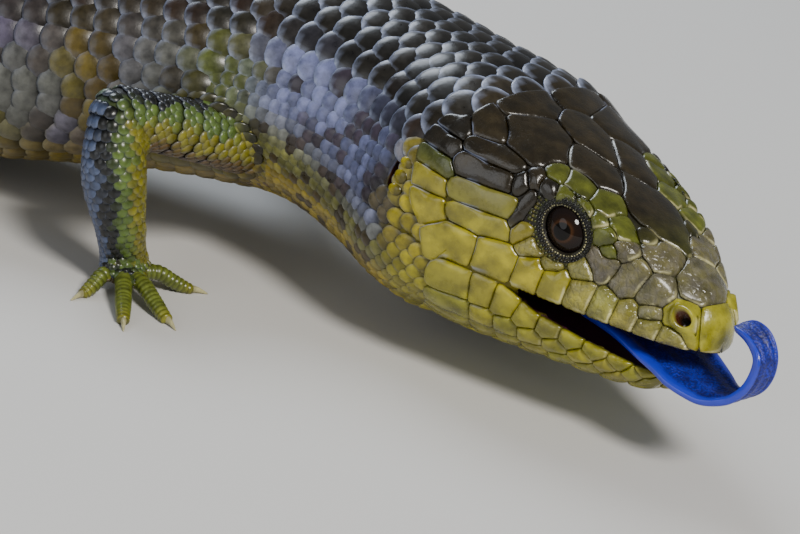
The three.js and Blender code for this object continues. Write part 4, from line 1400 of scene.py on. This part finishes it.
def tube_item(rings, tones, flat):
    """A closed tube with one tone for each ring, and the places of its points on the map."""
    points, (sides, ends) = closed_tube(rings)
    tint = np.repeat(tones, rings.shape[1], axis=0)
    tint, flat = [np.concatenate([rows, rows[:1], rows[-1:]]) for rows in (tint, flat)]
    return points, sides, ends, tint, flat


for name, leg in LEGS.items():
    for toe in leg["toes"]:
        path, travel, side, radii = toe_path(leg, toe, TOE_STATIONS)
        lengths = np.concatenate([[0], np.cumsum(np.linalg.norm(np.diff(path, axis=0), axis=1))])
        tip = lengths[-1] - CLAW * 0.95
        keep = lengths < tip
        phase = (lengths / RING_STEP) % 1
        swell = RING_SWELL * ease(phase / 0.5) * (1 - ease((phase - 0.82) / 0.18))
        rings = round_rings(path, travel, side, radii + swell, radii + swell, TOE_POINTS)[keep]
        end, way = path[keep][-1], travel[keep][-1]
        middle = rings[-1].mean(0)
        rings = np.concatenate([rings, [middle + (rings[-1] - middle) * 0.4 + way * 0.35]])
        shade = np.append(0.45 + 0.65 * phase[keep], 0.8)[:, None]
        yellowed = 0.35 + 0.5 * np.append(np.clip((lengths[keep] - tip + 3) / 3, 0, 1), 1)
        tones = blend(paint("leg green"), paint("leg yellow"), yellowed) * shade
        column = 0.05 + 0.9 * len(toe_items) / 20
        flat = np.stack([column + 0.02 * np.tile(np.arange(TOE_POINTS) / TOE_POINTS, len(rings)),
                         np.repeat(np.linspace(0.9, 0.98, len(rings)), TOE_POINTS)], 1)
        toe_items.append(tube_item(rings, tones, flat))

        hook = [end - way * 0.6, end + way * 0.9 + [0, 0, 0.25], path[-1] * [1, 1, 0] + [0, 0, 0.12]]
        path, travel = bent_path(hook, CLAW_POINTS)
        radii = np.linspace(0.85, 0.06, CLAW_POINTS) ** 0.8
        rings = round_rings(path, travel, side, radii * 0.75, radii, CLAW_POINTS)
        tones = blend(paint("leg black"), paint("rim cream"), np.linspace(0.25, 0.8, CLAW_POINTS))
        claw_items.append(tube_item(rings, tones, np.tile([column, 0.995], (CLAW_POINTS ** 2, 1))))
toes = join_plates("toes", toe_items)
toes.data.materials.append(leg_horn)
claws = join_plates("claws", claw_items)
claws.data.materials.append(horn_finish("claw horn", 0.25, 0.4, 0.02))

# Eyes: near-black wet balls with a faint brown ring round the pupil, set deep behind a dark lid
# with a row of tiny granules on its edge.

def face_outwards(piece):
    work_on(piece)
    bpy.ops.object.mode_set(mode="EDIT")
    bpy.ops.mesh.select_all(action="SELECT")
    bpy.ops.mesh.normals_make_consistent(inside=False)
    bpy.ops.object.mode_set(mode="OBJECT")


def columns(items):
    return [np.array(column) for column in zip(*items)]


eye_finish = Finish("wet eye", Roughness=0.05, Coat_Weight=0.1, Coat_Roughness=0.02,
                    Specular_IOR_Level=0.2)
ring = eye_finish.node("ShaderNodeValToRGB", {"stops": [
    (0.0, (0.003, 0.002, 0.002, 1)), (0.29, (0.004, 0.003, 0.002, 1)),
    (0.345, (0.050, 0.021, 0.008, 1)), (0.44, (0.014, 0.007, 0.004, 1)),
    (0.62, (0.010, 0.006, 0.005, 1)), (1.0, (0.004, 0.003, 0.003, 1))]},
    {"Fac": eye_finish.attribute("tint")})
eye_finish.set(eye_finish.shader, {"Base Color": ring})
lid_finish = horn_finish("lid skin", 0.45, 0.3, 0.05)
# The lid, out from the eye's axis and up from its middle, and the number, place, width, height
# and colour of each ring of granules
LID_POINTS = 64
LID_PROFILE = [(3.62, 2.72), (3.64, 2.95), (3.85, 3.2), (4.25, 3.36), (4.7, 3.36), (5.2, 3.12),
               (5.6, 2.5), (5.2, 1.7), (4.3, 1.7), (3.75, 2.2)]
LID_BEADS = [(50, 3.68, 0.17, 0.22, "rim cream"), (40, 4.0, 0.28, 0.3, "leg black"),
             (42, 4.42, 0.3, 0.32, "leg black"), (44, 4.86, 0.31, 0.34, "brow olive"),
             (46, 5.32, 0.33, 0.34, "lip olive"), (48, 5.8, 0.35, 0.34, "brow olive")]
bead_items = []
for side, name in ((1, "left"), (-1, "right")):
    place = sunk_frame(EYE["along"], side * EYE["around"], EYE["radius"] - EYE["proud"])
    eye = ball_at(f"eyeball_{name}", place, [EYE["radius"]] * 3, 64)
    points, _ = mesh_points(eye)
    off_axis = np.linalg.norm(np.cross(points - place[0], place[1]), axis=1) / EYE["radius"]
    off_axis = np.where((points - place[0]) @ place[1] < 0, 1, off_axis)
    give_colour(eye, "tint", np.repeat(off_axis[:, None], 3, axis=1))
    eye.data.materials.append(eye_finish.material)
    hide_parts(f"eye_{name}")
    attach(eye, "root")

    angle = np.arange(LID_POINTS) * 2 * math.pi / LID_POINTS
    centre, normal, turn, ahead = place
    around_eye = (np.cos(angle)[:, None] * ahead * EYE["oval"] + np.sin(angle)[:, None] * turn)
    out, up = np.array(LID_PROFILE).T[:, None, :, None]
    rings = centre + around_eye[:, None] * out + normal * up
    size = len(LID_PROFILE)
    grid = np.arange(LID_POINTS * size).reshape(LID_POINTS, size)
    onward = np.roll(grid, -1, 0)
    quads = np.stack([grid, onward, np.roll(onward, -1, 1), np.roll(grid, -1, 1)], -1)
    lid = new_piece(f"lid_{name}", rings.reshape(-1, 3), [quads.reshape(-1, 4)])
    face_outwards(lid)
    shade = np.tile(np.linspace(0.6, 1.2, size)[None, :, None], (LID_POINTS, 1, 1))
    tone = blend(paint("leg black"), paint("flank green"), 0.25) * 0.55
    give_colour(lid, "tint", (tone * shade).reshape(-1, 3))
    lid.data.materials.append(lid_finish)
    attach(lid, "root")

    for number, out, wide, tall, colour in LID_BEADS:
        for k in range(number):
            phi = 2 * math.pi * (k + draw_scales.uniform(-0.2, 0.2)) / number
            out_way = ahead * math.cos(phi) * EYE["oval"] + turn * math.sin(phi)
            spread = out + draw_scales.uniform(-0.06, 0.06)
            above = centre + out_way * spread + normal * 9
            up = float(through(LID_PROFILE[:7], out))
            facing = normal
            ground, slope, _, _ = skin_tree.ray_cast(tuple(above), tuple(-normal))
            if ground and (np.array(ground) - centre) @ normal > up:
                up = (np.array(ground) - centre) @ normal
                facing = np.array(slope)
            spot = centre + out_way * spread + normal * up
            bead_items.append((spot, facing, np.cross(normal, out_way),
                               wide * draw_scales.uniform(0.85, 1.15), tall, colour))

spots, facings, ways, wide, tall, colours = columns(bead_items)
tints = np.array([paint(colour) for colour in colours])
tints *= draw_scales.uniform(0.3, 0.85, len(spots))[:, None]
places = np.stack([0.86 + 0.1 * np.arange(len(spots)) / len(spots), np.full(len(spots), 0.45)], 1)
long = wide * 2.2
lay_scales("lid_granules", lid_finish, spots, facings, ways, long, long * 0.85,
           long * 0, tall * 1.1, tints, np.concatenate([tints, np.zeros((len(spots), 1))], 1), places,
           SMALL_STEPS, 0.0, 0.2)

# Ears: an upright slit behind the jaw, rust inside, with rounded lobes on its front edge.

EAR_LOBES = ((-2.4, 2.0), (0.0, 2.6), (2.5, 2.0))
lobes = []
for side in (1, -1):
    place, normal, turn, ahead = body_frame(EAR["along"] - 1.5, side * EAR["around"])
    for shift, wide in EAR_LOBES:
        lobes.append((place + turn * shift - ahead * 0.1, unit(normal - ahead * 0.4), -ahead, wide))
spots, facings, ways, wide = columns(lobes)
ones = np.ones(len(lobes))
tints = np.tile(paint("cheek yellow"), (len(lobes), 1))
places = np.stack([ones * 0.9, 0.5 + 0.01 * np.arange(len(lobes))], 1)
lay_scales("ear_lobes", SHIELD_HORN["jaw_shields"], spots, facings, ways, ones * 2.4,
           wide, ones * 0.5, ones * 0.5, tints, np.concatenate([tints, ones[:, None] * 0], 1),
           places, FINE_STEPS, 0.2, 0.5)

# Tongue: a broad velvety blue ribbon with smooth pale rims. It leaves the mouth over the chin and
# curls up in front of the snout. Points are ahead of the snout tip, left of it and above the lips.

TONGUE_RIGHT = [(-24, -6, -3.2), (-16, -7, -3.2), (-9.5, -8, -3.9), (-6, -8, -4.6),
                (-3.2, -7.8, -5.5), (0, -7.2, -6), (2.6, -6.5, -6.1), (4.8, -5.8, -5.4), (7, -5, -4),
                (8.6, -4.3, -1.6), (9.1, -3.7, 1.1), (8.8, -3.4, 3.5), (7.2, -3, 4.7),
                (5.3, -2.8, 5.5), (3.1, -2.4, 5.7), (2.2, -1.6, 5.6)]
TONGUE_LEFT = [(-24, 6, -3.2), (-16, 7, -3.2), (-9.5, 8, -3.6), (-6.5, 7.6, -4), (-3.6, 6.6, -4.5),
               (-0.4, 5.2, -5), (2, 3.8, -5.2), (4.2, 2.4, -4.8), (6.6, 1.4, -3.8), (8.6, 1.3, -1.8),
               (9.3, 1.5, 0.4), (9.1, 1.6, 2.9), (8.2, 1.6, 5), (6.6, 1.4, 6.6), (4.4, 0.9, 7.2),
               (2.8, -0.2, 6.4)]
TONGUE_THICK = 1.7
TONGUE_RINGS = 220
TONGUE_POINTS = 64

snout_centre, snout_forward, snout_left, snout_up = spine_frame(np.array(0.0))


def in_head(rows):
    rows = np.array(rows, float)
    return (snout_centre + rows[:, :1] * snout_forward + rows[:, 1:2] * snout_left
            + rows[:, 2:] * snout_up)


right_edge, _ = bent_path(in_head(TONGUE_RIGHT), TONGUE_RINGS)
left_edge, _ = bent_path(in_head(TONGUE_LEFT), TONGUE_RINGS)
middle = (right_edge + left_edge) / 2
travel = unit(np.gradient(middle, axis=0))
across = unit(right_edge - left_edge)
rise = unit(np.cross(travel, across))
half = np.linalg.norm(right_edge - left_edge, axis=1) / 2
share = np.linspace(0, 1, TONGUE_RINGS)
thick = TONGUE_THICK / 2 * np.minimum(1, 0.5 + 4 * (1 - share))
angle = np.arange(TONGUE_POINTS) * 2 * math.pi / TONGUE_POINTS
wide_share = np.sign(np.cos(angle)) * np.abs(np.cos(angle)) ** 0.7
rim_swell = 0.7 + 0.5 * ease((np.abs(wide_share) - 0.62) / 0.2) - 0.15 * np.cos(wide_share * 9)
deep_share = np.sign(np.sin(angle)) * np.abs(np.sin(angle)) ** 0.7 * rim_swell
rings = (middle[:, None] + across[:, None] * (half[:, None] * wide_share)[..., None]
         + rise[:, None] * (thick[:, None] * deep_share)[..., None])
points, (sides, ends) = closed_tube(rings)
tongue = new_piece("tongue_ribbon", points, [sides, ends])
face_outwards(tongue)
rim = np.tile(ease((np.abs(wide_share) - 0.72) / 0.2), (TONGUE_RINGS, 1))
upper = np.tile((np.sin(angle) < 0) * 1.0, (TONGUE_RINGS, 1))
marks = np.stack([rim, upper, np.zeros_like(rim)], -1).reshape(-1, 3)
give_colour(tongue, "tint", np.concatenate([marks, marks[:1], marks[-1:]]))
velvet = Finish("tongue velvet", Roughness=0.42, Coat_Roughness=0.2, Subsurface_Weight=0.12,
                Subsurface_Scale=0.002)
velvet.shader.inputs["Subsurface Radius"].default_value = (0.2, 0.3, 1.0)
parts = velvet.node("ShaderNodeSeparateColor", {}, {0: velvet.attribute("tint")}, output=0)
place = velvet.node("ShaderNodeTexCoord", output="Object")
papillae = velvet.node("ShaderNodeTexVoronoi", {}, {"Vector": place, "Scale": 2600.0}, output=0)
cloud = velvet.grain(420.0, 3.0)
blue = velvet.mixed((0.004, 0.009, 0.2, 1), (0.009, 0.024, 0.5, 1), velvet.spread(cloud, 0.35, 0.65))
# Darker between the papillae, away from the rims: painted shade in the gaps of the velvet.
blue = velvet.mixed(blue, (0.002, 0.004, 0.06, 1), velvet.spread(papillae, 0.25, 0.7) * (1 - parts) * 0.75)
blue = velvet.mixed(blue, (0.014, 0.036, 0.55, 1), parts * 0.7)
velvet.set(velvet.shader, {
    "Base Color": blue,
    "Coat Weight": velvet.spread(parts, 0.0, 1.0, 0.15, 0.6),
    "Roughness": velvet.spread(parts, 0.0, 1.0, 0.5, 0.3),
    "Normal": velvet.bump((1 - papillae) * (1 - parts), 0.12 * MM),
})
tongue.data.materials.append(velvet.material)
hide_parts("tongue")
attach(tongue, "root")

# Studio: a plain pale floor of matt paper, with a soft warm key light from the front right, a cool
# rim light from behind and a weak fill.

FLOOR_HALF = 3.0
bpy.ops.object.select_all(action="DESELECT")
bpy.ops.mesh.primitive_plane_add(size=2 * FLOOR_HALF)
floor = bpy.context.object
floor.name = "floor"
paper = Finish("studio paper", Roughness=0.85)
paper.set(paper.shader, {"Base Color": (0.62, 0.61, 0.59, 1)})
floor.data.materials.append(paper.material)
floor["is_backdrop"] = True


def soft_light(name, place, target, size, power, colour):
    lamp = bpy.data.lights.new(name, "AREA")
    lamp.shape = "DISK"
    lamp.size = size
    lamp.energy = power
    lamp.color = colour
    holder = bpy.data.objects.new(name, lamp)
    bpy.context.scene.collection.objects.link(holder)
    holder.location = place
    holder.rotation_euler = (Vector(target) - Vector(place)).to_track_quat("-Z", "Y").to_euler()
    return holder


head_spot = tuple((SNOUT_TIP + [-30, 5, 10]) * MM)
soft_light("key", (0.75, -0.75, 0.95), head_spot, 0.35, 17.0, (1.0, 0.96, 0.9))
soft_light("rim", (-0.35, 0.55, 0.8), head_spot, 0.6, 8.0, (0.82, 0.9, 1.0))
soft_light("fill", (-0.5, -1.1, 0.5), head_spot, 0.9, 3.5, (0.95, 0.97, 1.0))
world = bpy.data.worlds.new("studio air")
world.use_nodes = True
world.node_tree.nodes["Background"].inputs["Color"].default_value = (0.8, 0.85, 0.92, 1)
world.node_tree.nodes["Background"].inputs["Strength"].default_value = 0.22
bpy.context.scene.world = world

# Camera: a long lens from the front right, a little above, tilted as in the photograph.

CAMERA_TURN = math.radians(8)
CAMERA_RISE = math.radians(20.5)
CAMERA_ROLL = math.radians(12.2)
CAMERA_DISTANCE = 420.0
PHOTO_WIDTH, PHOTO_HEIGHT = 800, 534
EYE_PIXEL = (562, 230)
FOCAL_PIXELS = 2690.0
SENSOR = 36.0

eye_target = SNOUT_TIP + [-28.7, 4.0, 11.5]
backwards = np.array([math.sin(CAMERA_TURN) * math.cos(CAMERA_RISE),
                      -math.cos(CAMERA_TURN) * math.cos(CAMERA_RISE), math.sin(CAMERA_RISE)])
level_right = np.array([math.cos(CAMERA_TURN), math.sin(CAMERA_TURN), 0])
level_up = np.cross(backwards, level_right)
camera_right = level_right * math.cos(CAMERA_ROLL) + level_up * math.sin(CAMERA_ROLL)
camera_up = level_up * math.cos(CAMERA_ROLL) - level_right * math.sin(CAMERA_ROLL)
off_right = (EYE_PIXEL[0] - PHOTO_WIDTH / 2) * CAMERA_DISTANCE / FOCAL_PIXELS
off_up = (PHOTO_HEIGHT / 2 - EYE_PIXEL[1]) * CAMERA_DISTANCE / FOCAL_PIXELS
camera_place = (eye_target + backwards * CAMERA_DISTANCE - camera_right * off_right
                - camera_up * off_up)
lens = bpy.data.cameras.new("camera")
lens.sensor_width = SENSOR
lens.lens = FOCAL_PIXELS * SENSOR / PHOTO_WIDTH
lens.clip_start = 0.01
camera = bpy.data.objects.new("camera", lens)
bpy.context.scene.collection.objects.link(camera)
turn = Matrix([list(camera_right), list(camera_up), list(backwards)]).transposed().to_4x4()
turn.translation = Vector(camera_place * MM)
camera.matrix_world = turn
bpy.context.scene.camera = camera

boxes = {"cad": cad_box, "visual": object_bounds()}
rows = {name: [[round(float(v), 5) for v in corner] for corner in box]
        for name, box in boxes.items()}
